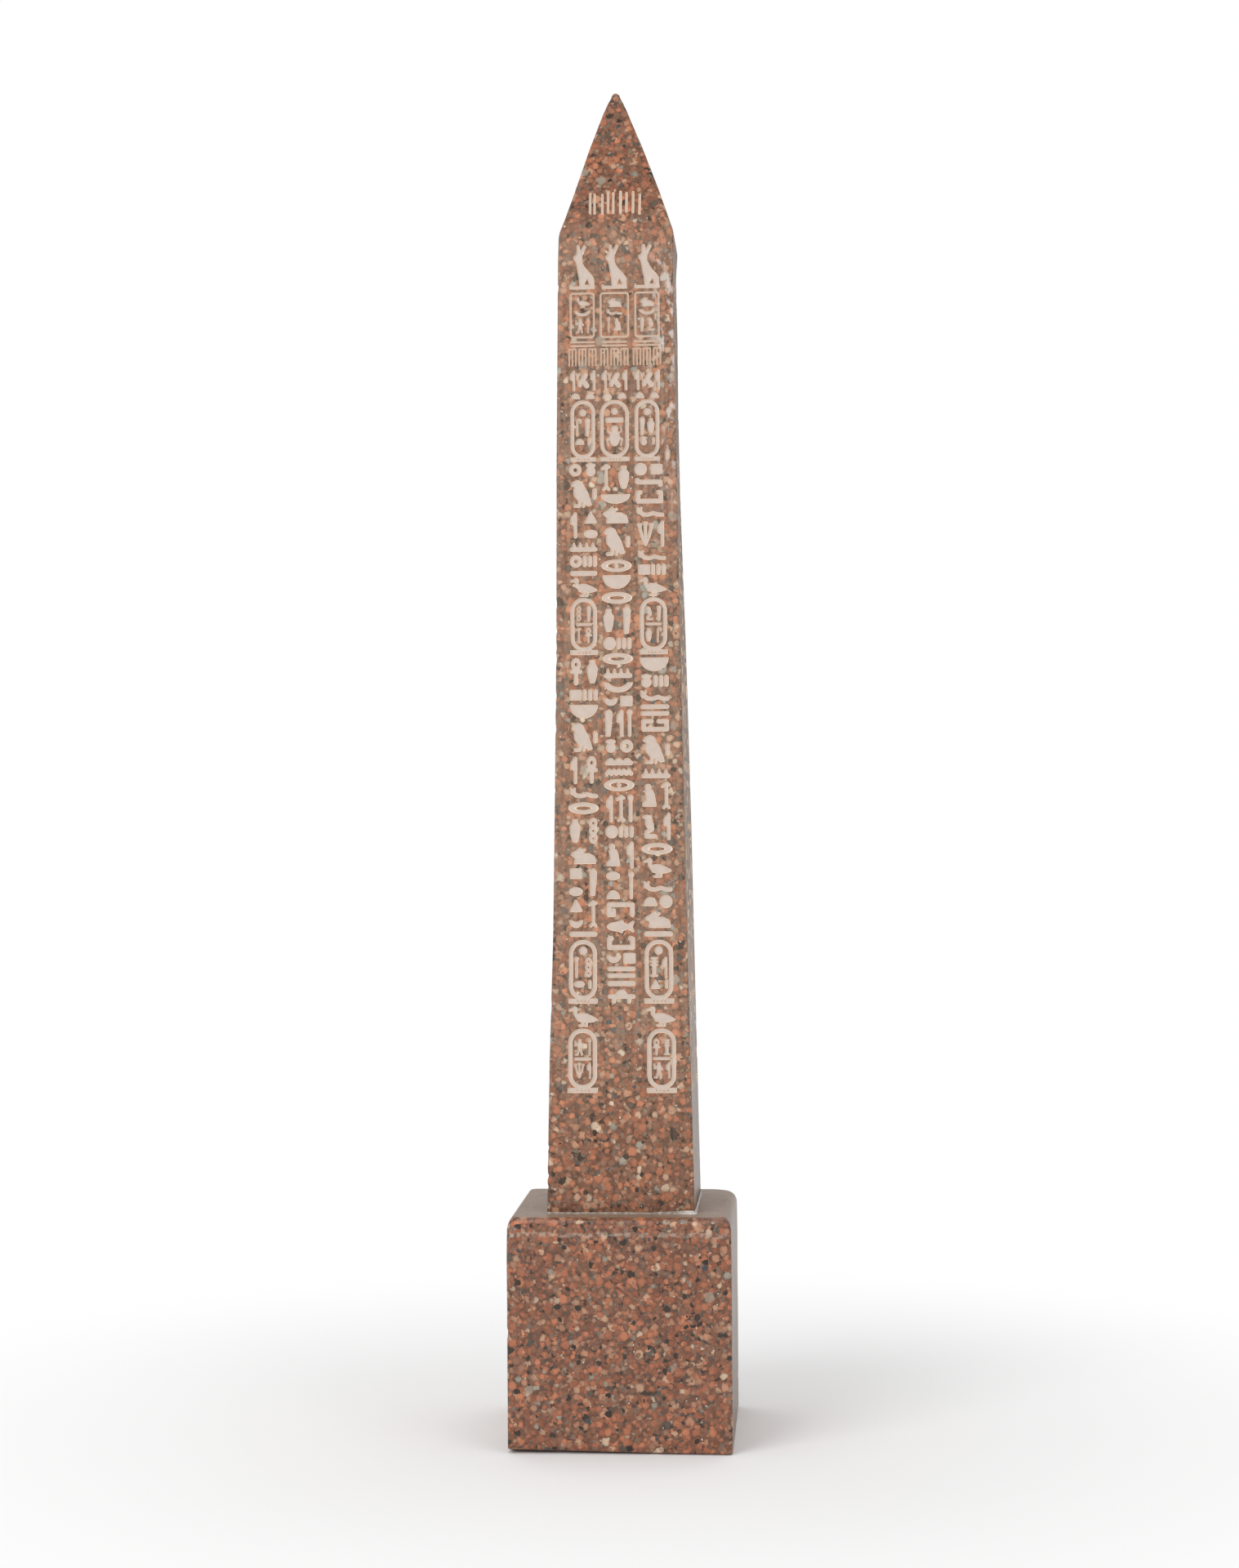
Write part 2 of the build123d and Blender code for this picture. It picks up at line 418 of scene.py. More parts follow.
# %% [markdown]
# ## Resin
#
# The joint looks filled with clear resin that has clouded: grey with stone dust along the front,
# nearly white at the right corner, where it is thick and where a highlight is also painted in, and
# glossy. A touch of subsurface light softens it.

# %% The resin
DUSTY_RESIN = colour(140, 126, 112)
CLOUDED_RESIN = colour(190, 182, 170)
THICK_RESIN_AND_HIGHLIGHT = colour(228, 224, 216)
WHITER_RESIN_FROM = (17.0, 25.0)  # millimetres to the right over which the resin is painted white: thicker clouded resin, and partly a painted highlight


def clouded_resin():
    """Glossy resin, whiter towards the right corner."""
    glue = Recipe("clouded_resin")
    spot = glue.node("ShaderNodeTexCoord", output="Object") * IN_MILLIMETRES
    cloud = noise_of(glue, spot, 1.4, 3.0)
    across = glue.split(spot)[0]
    dull = glue.mix(DUSTY_RESIN, CLOUDED_RESIN, glue.ease(cloud, 0.40, 0.70))
    # partly painted highlight: the resin is painted whiter towards the right corner
    body = glue.mix(dull, THICK_RESIN_AND_HIGHLIGHT, glue.ease(across, *WHITER_RESIN_FROM) * glue.ease(cloud, 0.30, 0.50))
    ripples = noise_of(glue, spot, 0.8)
    bump = glue.node("ShaderNodeBump", None, {"Strength": 0.4, "Distance": 0.0001, "Height": ripples})
    return glue.surface({"Base Color": body, "Roughness": 0.18, "Normal": bump, "Coat Weight": 0.5,
                         "Subsurface Weight": 0.15, "Subsurface Radius": (0.001, 0.001, 0.001)})


resin = clouded_resin()
print("materials:", [material.name for material in (shaft_granite, plinth_granite, blasted, resin)])

# %% [markdown]
# ## Drawing the signs
#
# The signs look blasted. For that a rubber stencil covers the polish, and the grit eats whatever
# the stencil leaves open. A stencil has soft corners, and the grit rounds them further.
# Outlines typed in point by point look stiff and soon cross each other, so each sign is drawn as
# a field instead: a grid of numbers that says how far every place is from the edge of the sign,
# below zero inside it. Joining shapes is then a minimum, cutting is a maximum, and the foot of a
# sloping wall is the same field read one wall's width further in.

# %% Shapes as fields of distances
GRID_PITCH = 0.1  # millimetres between the points of a sign's grid
GRID_MARGIN = 0.65  # millimetres of bare grid round a sign
FAR_AWAY = 1e9


def stroke(*points, width=1.3):
    """A pen line with round ends through the points."""
    def field(x, y):
        nearest = np.full_like(x, FAR_AWAY)
        for (ax, ay), (bx, by) in zip(points, points[1:]):
            length = math.hypot(bx - ax, by - ay)
            along = np.clip(((x - ax) * (bx - ax) + (y - ay) * (by - ay)) / length**2, 0, 1)
            nearest = np.minimum(nearest, np.hypot(x - ax - along * (bx - ax), y - ay - along * (by - ay)))
        return nearest - width / 2
    return field


def shape(*points, soft=0.3):
    """A filled outline through the points, grown by `soft`, which rounds its corners."""
    def field(x, y):
        rim = stroke(*points, points[0], width=0)(x, y)
        inside = np.zeros(x.shape, bool)
        for (ax, ay), (bx, by) in zip(points, points[1:] + points[:1]):
            if ay != by:
                inside ^= ((ay > y) != (by > y)) & (x < ax + (bx - ax) * (y - ay) / (by - ay))
        return np.where(inside, -rim, rim) - soft
    return field


def oval(x0, y0, half_wide, half_high):
    """A filled ellipse."""
    return lambda x, y: (np.hypot((x - x0) / half_wide, (y - y0) / half_high) - 1) * min(half_wide, half_high)


def disc(x0, y0, radius):
    """A filled circle."""
    return oval(x0, y0, radius, radius)


def panel(half_wide, half_high, radius):
    """A filled rectangle with round corners."""
    def field(x, y):
        over_x = np.abs(x) - half_wide + radius
        over_y = np.abs(y) - half_high + radius
        outside = np.hypot(np.maximum(over_x, 0), np.maximum(over_y, 0))
        return outside + np.minimum(np.maximum(over_x, over_y), 0) - radius
    return field


def above(level):
    """Everything higher than a level."""
    return lambda x, y: level - y


def below(level):
    """Everything lower than a level."""
    return lambda x, y: y - level


def both(*fields):
    """What any of the fields covers."""
    return lambda x, y: np.minimum.reduce([field(x, y) for field in fields])


def common(*fields):
    """What all the fields cover."""
    return lambda x, y: np.maximum.reduce([field(x, y) for field in fields])


def cut(field, *holes):
    """A field less the holes."""
    return lambda x, y: np.maximum.reduce([field(x, y)] + [-hole(x, y) for hole in holes])


def rim_line(field, width):
    """A line that follows the edge of a field on its inner side."""
    return lambda x, y: np.abs(field(x, y) + width / 2) - width / 2


def moved(field, dx, dy):
    """The same field in another place."""
    return lambda x, y: field(x - dx, y - dy)


print("signs are drawn on a grid of", GRID_PITCH, "mm")

# %% [markdown]
# A field becomes an outline by marching squares. Wherever the number passes a level between two
# neighbouring grid points, the edge of the sign runs between them, and following those crossings
# from square to square gives closed loops. Most points of a loop lie on nearly straight runs.
# They are dropped, so that the mesh spends its triangles where an outline bends.

# %% Outlines out of fields
OUTLINE_TOLERANCE = 0.024  # millimetres that an outline may move when points are dropped


def edge_loops(values, level, x0, y0):
    """Closed loops around the places where a grid of values is below a level."""
    low = values < level
    count = low[:-1, :-1].astype(int) + low[:-1, 1:] + low[1:, 1:] + low[1:, :-1]
    place, following = {}, {}

    def crossing(row, column, upright):
        """The key of the point where one side of a square passes the level."""
        key = (row, column, upright)
        here = values[row, column] - level
        there = (values[row + 1, column] if upright else values[row, column + 1]) - level
        step = here / (here - there)
        place[key] = (x0 + GRID_PITCH * (column + (0 if upright else step)),
                      y0 + GRID_PITCH * (row + (step if upright else 0)))
        return key

    for row, column in zip(*np.where((count > 0) & (count < 4))):
        corners = [low[row, column], low[row, column + 1], low[row + 1, column + 1], low[row + 1, column]]
        sides = [(row, column, False), (row, column + 1, True), (row + 1, column, False), (row, column, True)]
        for leaving in range(4):
            if corners[leaving] and not corners[(leaving + 1) % 4]:
                entering = (leaving - 1) % 4
                while corners[entering]:
                    entering = (entering - 1) % 4
                following[crossing(*sides[leaving])] = crossing(*sides[entering])
    loops = []
    while following:
        first, key = following.popitem()
        loop = [place[first]]
        while key != first:
            loop.append(place[key])
            key = following.pop(key)
        loops.append(loop)
    return loops


def thinned(points):
    """A run of points without those that lie almost on the line between their neighbours."""
    if len(points) < 3:
        return points
    (ax, ay), (bx, by) = points[0], points[-1]
    length = math.hypot(bx - ax, by - ay) or 1
    offsets = [abs((bx - ax) * (y - ay) - (by - ay) * (x - ax)) / length for x, y in points[1:-1]]
    worst = offsets.index(max(offsets))
    if offsets[worst] < OUTLINE_TOLERANCE:
        return [points[0], points[-1]]
    return thinned(points[:worst + 2])[:-1] + thinned(points[worst + 1:])


def loops_of(field, half_wide, half_high, level):
    """The outlines of a field at a level, in millimetres around its centre."""
    xs = np.arange(-half_wide - GRID_MARGIN, half_wide + GRID_MARGIN, GRID_PITCH)
    ys = np.arange(-half_high - GRID_MARGIN, half_high + GRID_MARGIN, GRID_PITCH)
    values = field(*np.meshgrid(xs, ys))
    loops = []
    for loop in edge_loops(values, level, xs[0], ys[0]):
        far = max(range(len(loop)), key=lambda k: math.dist(loop[0], loop[k]))
        loop = thinned(loop[:far + 1])[:-1] + thinned(loop[far:] + loop[:1])[:-1]
        if len(loop) > 2:
            loops.append(loop)
    return loops


print("a disc of 4 mm becomes", len(loops_of(disc(0, 0, 2.0), 2.0, 2.0, 0.0)[0]), "points")

# %% [markdown]
# ## The set of signs
#
# The signs are plain pictures of the kind that such columns are built from: birds, plants,
# vessels, water, the sun. They say nothing in the order in which they come here. Each is drawn
# in millimetres around the centre of its own box, as the stencil has it. The grit then makes every
# line a little bolder, so that even the finest ones keep a floor between their two walls.

# %% Signs as wide as a column
WALL_WIDTH = 0.22  # millimetres from the rim of a sign to the foot of its wall
BOLDER = 0.19  # millimetres that the grit ate in under the edge of the stencil
SIGNS = {}


def sign(name, wide, high, *fields):
    """Keeps a sign: its size, and its loops at the surface and at the foot of the wall."""
    field = both(*fields)
    rim = loops_of(field, wide / 2, high / 2, BOLDER)
    foot = loops_of(field, wide / 2, high / 2, BOLDER - WALL_WIDTH)
    SIGNS[name] = {"wide": wide + 2 * BOLDER, "high": high + 2 * BOLDER, "rim": rim, "foot": foot}


sign("bar", 9.2, 1.4, stroke((-3.9, 0), (3.9, 0), width=1.4))
sign("two bars", 9.2, 3.5, stroke((-4, 1.1), (4, 1.1), width=1.2), stroke((-4, -1.1), (4, -1.1), width=1.2))
sign("ripple", 9.4, 2.2, stroke(*[(0.82 * k - 4.1, 0.5 if k % 2 else -0.5) for k in range(11)], width=1.1))
sign("bowl", 9.2, 2.9, common(oval(0, 1.4, 4.6, 2.8), below(1.4)))
sign("mouth", 9.4, 3.6, cut(oval(0, 0, 4.7, 1.8), oval(0, 0, 3.2, 0.75)))
sign("court", 9.2, 4.6,
     stroke((-2.4, -0.3), (-2.4, -1.7), (-3.9, -1.7), (-3.9, 1.6), (3.9, 1.6), (3.9, -1.7)))
sign("arms", 9.2, 4.2, stroke((-3.2, 1.6), (-3.9, 1.4), (-3.9, -1.4), (3.9, -1.4), (3.9, 1.4), (3.2, 1.6)))
sign("viper", 9.4, 3.4, disc(-3.7, 0.3, 0.85), stroke((-4.0, 0.8), (-4.3, 1.4), width=0.6),
     stroke((-3.4, 0.8), (-3.0, 1.4), width=0.6),
     stroke((-3.7, 0.2), (-2.4, -0.8), (-0.8, -1.0), (1.0, -0.4), (2.8, -0.9), (4.2, -1.0), width=1.1))
sign("pool", 9.4, 3.2, stroke((-4.1, -0.95), (4.1, -0.95), width=1.2),
     *[shape((x - 0.45, -0.6), (x + 0.45, -0.6), (x, 1.1), soft=0.2) for x in (-3.3, -1.1, 1.1, 3.3)])
sign("hills", 9.2, 3.0, stroke((-4, -0.8), (4, -0.8), width=1.2),
     *[common(disc(x, -0.6, 1.25), above(-0.7)) for x in (-2.8, 0, 2.8)])
sign("boat", 9.4, 3.6, cut(common(oval(0, 1.5, 4.7, 3.2), below(1.3)), oval(0, 2.4, 3.6, 2.6)))
sign("forearm", 9.4, 2.8, stroke((-4.0, 0.9), (-3.1, 0.3), (3.9, 0.3), (3.9, -0.6)), disc(-3.9, 0.5, 0.8))
sign("altar", 9.2, 4.6, stroke((-3.9, 0), (3.9, 0), width=1.2), stroke((-2.6, 0), (-2.6, -1.7), width=1.1),
     stroke((2.6, 0), (2.6, -1.7), width=1.1), common(disc(0, 0.2, 1.9), above(0)))
sign("goose", 9.2, 6.4,
     shape((-2.0, 0.1), (-0.9, 0.8), (0.8, 0.7), (2.6, 0), (4.2, -0.9), (2.8, -1.3), (0.6, -1.6),
           (-1.4, -1.1)),
     stroke((-1.7, -0.1), (-2.5, 1.1), (-2.3, 2.2), width=1.0), disc(-2.6, 2.4, 0.75),
     stroke((-2.8, 2.4), (-4.2, 2.1), width=0.65), stroke((0, -1.4), (-0.2, -2.8), (-1.0, -2.8), width=0.6),
     stroke((1.2, -1.4), (1.2, -2.8), (0.5, -2.8), width=0.6))
sign("hare", 9.2, 5.4,
     shape((-3.9, 0.5), (-2.7, 1.2), (-1.4, 0.6), (1.8, 0.5), (3.4, -0.4), (3.8, -2.2), (-2.8, -2.2),
           (-2.4, -0.7)),
     stroke((-2.6, 1.0), (-1.2, 2.3), width=0.8), stroke((-1.9, 0.9), (0.3, 2.0), width=0.8))
sign("fish", 9.2, 4.2, oval(-0.9, 0, 3.4, 1.45), shape((2.0, 0), (4.1, 1.5), (3.4, 0), (4.1, -1.5)),
     shape((-1.6, 1.1), (0.4, 1.1), (0.5, 1.8)), shape((-1.2, -1.1), (0.2, -1.1), (0.3, -1.7)))
sign("deep bowl", 9.2, 4.4, common(oval(0, 2.1, 4.6, 4.2), below(2.1)))
sign("eye", 9.4, 3.8, cut(oval(0, 0, 4.7, 1.9), oval(0, 0, 3.4, 1.0)), disc(0, 0, 0.62))
sign("walls", 9.2, 4.0, stroke((-3.8, -1.3), (3.8, -1.3), width=1.2),
     *[stroke((side * 3.8, 1.3), (side * 1.2, 1.3), width=1.2) for side in (-1, 1)],
     *[stroke((side * 3.8, -1.3), (side * 3.8, 1.3), width=1.2) for side in (-1, 1)])
sign("rule", 9.6, 0.8, stroke((-4.45, 0), (4.45, 0), width=0.36))
print(len(SIGNS), "signs as wide as a column")

# %% Tall signs
sign("falcon", 7.6, 9.6,
     shape((-2.9, 3.0), (-2.2, 3.9), (-0.9, 4.4), (0.3, 3.8), (0.9, 2.4), (2.2, 0.2), (3.4, -3.6),
           (2.5, -3.8), (1.4, -2.4), (-0.6, -2.1), (-1.9, -0.4), (-2.1, 1.4), (-1.6, 2.6)),
     stroke((-0.3, -2.0), (-0.5, -4.1), (-2.0, -4.1), width=0.9), stroke((1.1, -2.4), (0.9, -4.1), width=0.9))
sign("walker", 5.6, 9.0, disc(0.2, 3.5, 0.85), shape((-0.7, 2.3), (1.0, 2.4), (0.9, -0.4), (-0.5, -0.4)),
     stroke((0.0, -0.4), (-1.0, -3.8), (-1.9, -3.8), width=1.0), stroke((0.6, -0.4), (1.4, -3.8), width=1.0),
     stroke((-0.6, 1.9), (-2.1, 0.9), (-2.1, 3.2), width=0.8), stroke((0.9, 2.0), (2.1, 0.4), width=0.8))
sign("reed", 2.6, 8.8, stroke((0.6, -4.0), (0.6, 3.8), width=0.9),
     shape((0.6, 3.9), (-0.6, 2.4), (-0.7, 0.6), (0.5, 0)))
sign("plume", 2.8, 8.8,
     shape((-0.6, -4.1), (0.2, -4.1), (0.8, 1.6), (0.9, 3.2), (0.2, 4.1), (-0.9, 3.6), (-0.7, 1.4)))
sign("crook", 3.2, 8.8,
     stroke((-0.7, -4.0), (-0.7, 2.8), (-0.2, 3.7), (0.7, 3.7), (1.1, 2.9), (0.8, 2.2), width=0.9))
sign("staff", 1.8, 8.8, stroke((0, -4.0), (0, 3.6), width=0.9), disc(0, 3.5, 0.85))
sign("pillar", 3.4, 8.4, stroke((0, -3.4), (0, 3.4), width=1.5), stroke((-1.2, -3.7), (1.2, -3.7), width=0.8),
     *[stroke((-1.3, y), (1.3, y), width=0.7) for y in (3.7, 2.3, 0.9)])
sign("looped cross", 4.0, 8.8, cut(oval(0, 2.4, 1.5, 1.9), oval(0, 2.4, 0.6, 0.95)),
     stroke((-1.4, 0), (1.4, 0), width=1.1), stroke((0, 0.4), (0, -3.8), width=1.1))
sign("jar", 3.6, 7.6,
     shape((-0.6, 3.4), (0.6, 3.4), (0.5, 2.5), (1.4, 1.2), (1.1, -1.4), (0.5, -3.4), (-0.5, -3.4),
           (-1.1, -1.4), (-1.4, 1.2), (-0.5, 2.5)))
sign("lotus", 5.6, 8.0, stroke((0, 2.6), (0, -3.7), width=0.8),
     *[stroke((side * 1.9, 2.0), (side * 1.2, -1.0), (0, -3.7), width=0.8) for side in (-1, 1)],
     shape((-2.5, 3.2), (-1.5, 3.2), (-1.9, 1.8)), shape((-0.5, 3.7), (0.5, 3.7), (0, 2.3)),
     shape((1.5, 3.2), (2.5, 3.2), (1.9, 1.8)))
sign("wick", 2.8, 8.2, *[rim_line(oval(0, y, 1.3, 1.55), 0.75) for y in (2.5, 0, -2.5)])
sign("sitter", 5.0, 7.6, disc(-0.5, 2.7, 0.95),
     shape((-1.2, 1.3), (0.7, 1.5), (1.3, 0), (1.8, -3.3), (-2.0, -3.3), (-2.0, -2.7), (-0.6, -1.4),
           (-0.9, 0)))
sign("cobra", 4.4, 7.8,
     stroke((1.8, -3.3), (-0.9, -3.3), (-0.8, -2.0), (0.9, -0.9), (0.8, 0.6), (-0.2, 2.0), width=1.2),
     oval(-0.1, 1.4, 1.1, 1.9), shape((-0.3, 2.4), (-0.5, 3.4), (-1.8, 3.0)))
sign("sceptre", 3.0, 9.0, stroke((0.2, 3.6), (0.2, -3.0), width=0.8),
     stroke((-1.1, 2.9), (0.2, 3.9), (1.1, 3.4), width=0.8),
     stroke((-0.7, -4.0), (0.2, -3.0), (1.0, -4.0), width=0.8))
sign("beetle", 8.4, 10.4, oval(0, -0.9, 2.6, 4.1), oval(0, 3.6, 1.7, 1.5),
     *[stroke((side * 2.0, 1.4), (side * 3.4, 2.2), (side * 3.3, 4.8), width=0.6) for side in (-1, 1)],
     *[stroke((side * 2.2, -0.9), (side * 3.8, -1.7), (side * 3.2, -4.7), width=0.75) for side in (-1, 1)])
print(len(SIGNS), "signs with the tall ones")

# %% Small signs, and the strokes that count things
sign("loaf", 4.3, 2.6, common(oval(0, -1.3, 2.15, 2.6), above(-1.3)))
sign("sun", 4.0, 4.0, disc(0, 0, 2.0))
sign("well", 4.0, 4.0, cut(disc(0, 0, 2.0), disc(0, 0, 0.85)))
sign("stool", 3.8, 3.2, shape((-1.6, -1.3), (1.6, -1.3), (1.6, 1.3), (-1.6, 1.3)))
sign("cone", 4.0, 3.8, shape((-1.7, -1.6), (1.7, -1.6), (0, 1.5)))
sign("seed", 4.2, 2.6, oval(0, 0, 2.1, 1.3))
sign("moon", 4.4, 2.8, cut(common(disc(0, 0.8, 2.2), below(0.9)), disc(0, 2.1, 1.8)))
sign("pot", 4.0, 4.0, disc(0, -0.5, 1.5), stroke((-1.1, 1.5), (1.1, 1.5), width=0.9),
     stroke((0, 0.5), (0, 1.5), width=1.4))
sign("dot", 3.2, 3.2, disc(0, 0, 1.6))
sign("tick", 1.4, 3.6, stroke((0, -1.2), (0, 1.2), width=1.2))
sign("sprig", 6.2, 7.2, stroke((0.2, 0.6), (1.2, 2.3), width=1.9),
     stroke((-0.6, 0.4), (0.6, -0.8), width=0.7),
     stroke((-1.1, -0.7), (-1.3, -2.0), width=1.7), stroke((0.9, -1.0), (1.8, -2.3), width=1.9),
     stroke((-2.3, 0.3), (-2.2, 1.4), (-2.8, 3.0), width=0.6), stroke((-2.2, 1.3), (-1.5, 2.8), width=0.6))
sign("slab", 9.0, 2.6, panel(4.4, 1.2, 0.4))
print(len(SIGNS), "signs with the small ones")

# %% Signs that frame the others
RING_HALF_WIDTH = 4.9  # millimetres, as all sizes here
ROPE_WIDTH = 1.05
ROPE_INSET = 0.45  # from the side of the sign's box
ROPE_LIFT = 0.6  # how far the ring stands above the foot of its box, for the tie bar
TIE_INSET = 0.25
TIE_HIGH = 1.35
KNOT_PLACES = (-1.8, -0.6, 0.6, 1.8)
KNOT_LEVEL = 0.72
KNOT_RADIUS = 0.36
FRAME_HIGH = 17.0
FRAME_LINE = 0.38
FRAME_CORNER = 1.2


def ring_sign(name, half_wide, high):
    """A rope ring on a tie bar, as wide and as high as asked for."""
    outline = panel(half_wide - ROPE_INSET, high / 2 - ROPE_LIFT, half_wide - ROPE_LIFT)
    loop = moved(rim_line(outline, ROPE_WIDTH), 0, ROPE_LIFT)
    tie = common(panel(half_wide - TIE_INSET, high / 2, 0.3), below(TIE_HIGH - high / 2))
    knots = [disc(x, KNOT_LEVEL - high / 2, KNOT_RADIUS) for x in KNOT_PLACES]
    sign(name, 2 * half_wide, high, cut(both(loop, tie), *knots))


def frame_sign(name, wide):
    """A frame of one thin line."""
    sign(name, wide, FRAME_HIGH, rim_line(panel(wide / 2, FRAME_HIGH / 2, FRAME_CORNER), FRAME_LINE))


ring_sign("tall ring", RING_HALF_WIDTH, 22.6)
ring_sign("ring", RING_HALF_WIDTH, 19.0)
ring_sign("low ring", RING_HALF_WIDTH, 20.2)
ring_sign("wide ring", 5.7, 22.6)
frame_sign("frame", 9.2)
frame_sign("wide frame", 10.8)
sign("hound", 9.8, 17.4, stroke((-4.4, -7.9), (4.3, -7.9), width=0.9),
     stroke((-4.5, -7.9), (-4.5, -7.1), width=0.6),
     cut(shape((-0.6, -7.4), (-0.9, -4.1), (-1.4, -1.5), (-1.8, 1.0), (-2.1, 2.1), (-2.9, 3.1),
               (-3.0, 3.8), (-1.6, 5.0), (-0.2, 4.9), (-0.3, 3.2), (-0.3, 2.0), (0.4, 0.3),
               (1.8, -1.5), (3.4, -3.2), (4.2, -4.5), (4.4, -7.4), soft=0.2),
         shape((0.9, -6.8), (1.9, -4.5), (3.0, -6.8), soft=0.15)),
     shape((-1.8, 4.7), (-1.8, 8.0), (-1.3, 8.1), (-0.7, 5.0), soft=0.15),
     shape((-0.9, 5.0), (0.8, 8.1), (1.3, 7.6), (0.0, 4.6), soft=0.15))
ARCH_PITCH = 3.78  # millimetres between the arches of the niched wall
ARCH_HALF_WIDTH = 1.25
ARCHES = [ARCH_PITCH * k for k in (-1, 0, 1)]
ARCH_SIDES = [x + side * ARCH_HALF_WIDTH for x in ARCHES for side in (-1, 0, 1)]
sign("niches", 10.6, 7.0, *[stroke((x, -3.1), (x, 3.0), width=0.2) for x in ARCH_SIDES],
     *[stroke((x - ARCH_HALF_WIDTH, 3.0), (x + ARCH_HALF_WIDTH, 3.0), width=0.24) for x in ARCHES])
print(len(SIGNS), "signs in all")

# %% [markdown]
# ## The outline that the shaft is built on
#
# The middle line of each face climbs the shaft, bends over the ground shoulder and runs up the
# pyramidion to the blunt tip. Length along that line is the one measure used for everything that
# sits on a face, because a sign keeps its shape when it is laid out along it. The sizes that the
# frame can give are read from it, and the others are the ones that the solid was made with.

# %% The middle line of a face, in millimetres
SHAFT_HEIGHT = 330.0  # from the foot to the shoulder line
SHOULDER_HALF = 19.5
PYRAMIDION_HEIGHT = 57.0  # to the apex, before it was blunted
SHOULDER_ROUND = 13.0
TIP_ROUND = 2.4
SHOULDER_STEPS = 6

shaft_low, shaft_high = (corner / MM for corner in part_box("shaft"))
plinth_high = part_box("plinth")[1] / MM
resin_low, resin_high = (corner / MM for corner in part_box("resin_bed"))
FOOT_LEVEL = shaft_low.z
FOOT_HALF = round(shaft_high.x, 1)
SHOULDER_LEVEL = FOOT_LEVEL + SHAFT_HEIGHT
LOW_SLOPE = math.atan((FOOT_HALF - SHOULDER_HALF) / SHAFT_HEIGHT)
HIGH_SLOPE = math.atan(SHOULDER_HALF / PYRAMIDION_HEIGHT)


def middle_line():
    """Half widths, levels and slopes from the foot to the place where the tip begins to round."""
    reach = SHOULDER_ROUND * math.tan((HIGH_SLOPE - LOW_SLOPE) / 2)
    centre_half = SHOULDER_HALF + reach * math.sin(LOW_SLOPE) - SHOULDER_ROUND * math.cos(LOW_SLOPE)
    centre_level = SHOULDER_LEVEL - reach * math.cos(LOW_SLOPE) - SHOULDER_ROUND * math.sin(LOW_SLOPE)
    line = [(FOOT_HALF, FOOT_LEVEL, LOW_SLOPE)]
    for slope in np.linspace(LOW_SLOPE, HIGH_SLOPE, SHOULDER_STEPS + 1):
        line.append((centre_half + SHOULDER_ROUND * math.cos(slope),
                     centre_level + SHOULDER_ROUND * math.sin(slope), slope))
    tip_centre = SHOULDER_LEVEL + PYRAMIDION_HEIGHT - TIP_ROUND / math.sin(HIGH_SLOPE)
    line.append((TIP_ROUND * math.cos(HIGH_SLOPE), tip_centre + TIP_ROUND * math.sin(HIGH_SLOPE), HIGH_SLOPE))
    return np.array(line), tip_centre


LINE, TIP_CENTRE = middle_line()
LINE_LENGTH = np.concatenate([[0], np.cumsum(np.hypot(*np.diff(LINE[:, :2], axis=0).T))])
SHOULDER_LENGTHS = LINE_LENGTH[1:-1]
FACE_LENGTH = LINE_LENGTH[-1]


def at_length(length):
    """Half width, level and slope at a length along the middle line."""
    return [np.interp(length, LINE_LENGTH, LINE[:, column]) for column in range(3)]


def length_of(level):
    """The length along the middle line at a level."""
    return float(np.interp(level, LINE[:, 1], LINE_LENGTH))


print("a face is", round(FACE_LENGTH, 1), "mm long, tip at", round(TIP_CENTRE + TIP_ROUND, 1))

# %% [markdown]
# ## What hand work did to the square block
#
# The stone in the photograph isn't a perfect prism. Its faces look slightly hollow, its right side
# isn't quite square to the front, and its tip sits a little to the left. The arrises look eased by
# hand: their radius wanders, and they have lost small chips. A bevel modifier would give every
# arris the same radius. Here each arris is a strip of cross-sections instead, one every millimetre
# or so, and each cross-section has a radius and a set-back of its own.

# %% The stone's own irregularities, in millimetres
HOLLOW = 0.55  # how far the faces are ground in between foot and shoulder
# pairs of a level and a distance: how far the right side falls back at the rear, how far the right
# of the pyramidion swells, and how far the left side is worn
OUT_OF_SQUARE = [(78, 0.0), (115, -0.2), (160, -0.35), (210, -0.45), (246, -0.25), (272, -0.05), (300, 0.4),
                 (325, 0.8), (352, 0.85), (378, 0.6), (400, 0.8), (410, 0.5), (424, 0.2), (460, 0)]
SWELLING = [(398, 0.0), (408, 0.5), (424, 0.8), (440, 0.55), (450, 0.1), (460, 0)]
LEFT_WEAR = [(130, 0), (170, 0.55), (270, 0.45), (330, 0), (400, 0.1), (414, 0.45), (424, 0.4), (438, 0)]
TIP_SIDESTEP = -0.75  # to the right, so the tip leans to the left
TIP_WEAR = [(440, 0), (452, 0.12), (456, 0.35), (458.6, 0.75)]  # level, and how much thinner the point is
ARRIS_ROUND = 0.8
LEVEL_STEP = 1.2
ARC_STEPS = 4
CHIPS_PER_ARRIS = 12
CHIP_HALF_SIZE = (0.8, 2.2)
CHIP_DEPTH = (0.15, 0.7)
ROUNDER_BY_CHIP = 1.3  # what a chip adds to the radius, and to the set-back, for each millimetre of depth
LOWER_BY_CHIP = 0.45
KNOWN_CHIPS = {3: [(12.2, 1.1, 0.9), (8.5, 0.9, 0.7)]}  # on the front left arris: length, half size, depth


def from_list(pairs, level):
    """A value read from a short list of levels and values."""
    return np.interp(level, [pair[0] for pair in pairs], [pair[1] for pair in pairs])


def hollow_at(level):
    """How far in the faces lie at a level."""
    share = np.clip((level - FOOT_LEVEL) / SHAFT_HEIGHT, 0, 1)
    return 4 * HOLLOW * share * (1 - share) + from_list(TIP_WEAR, level)


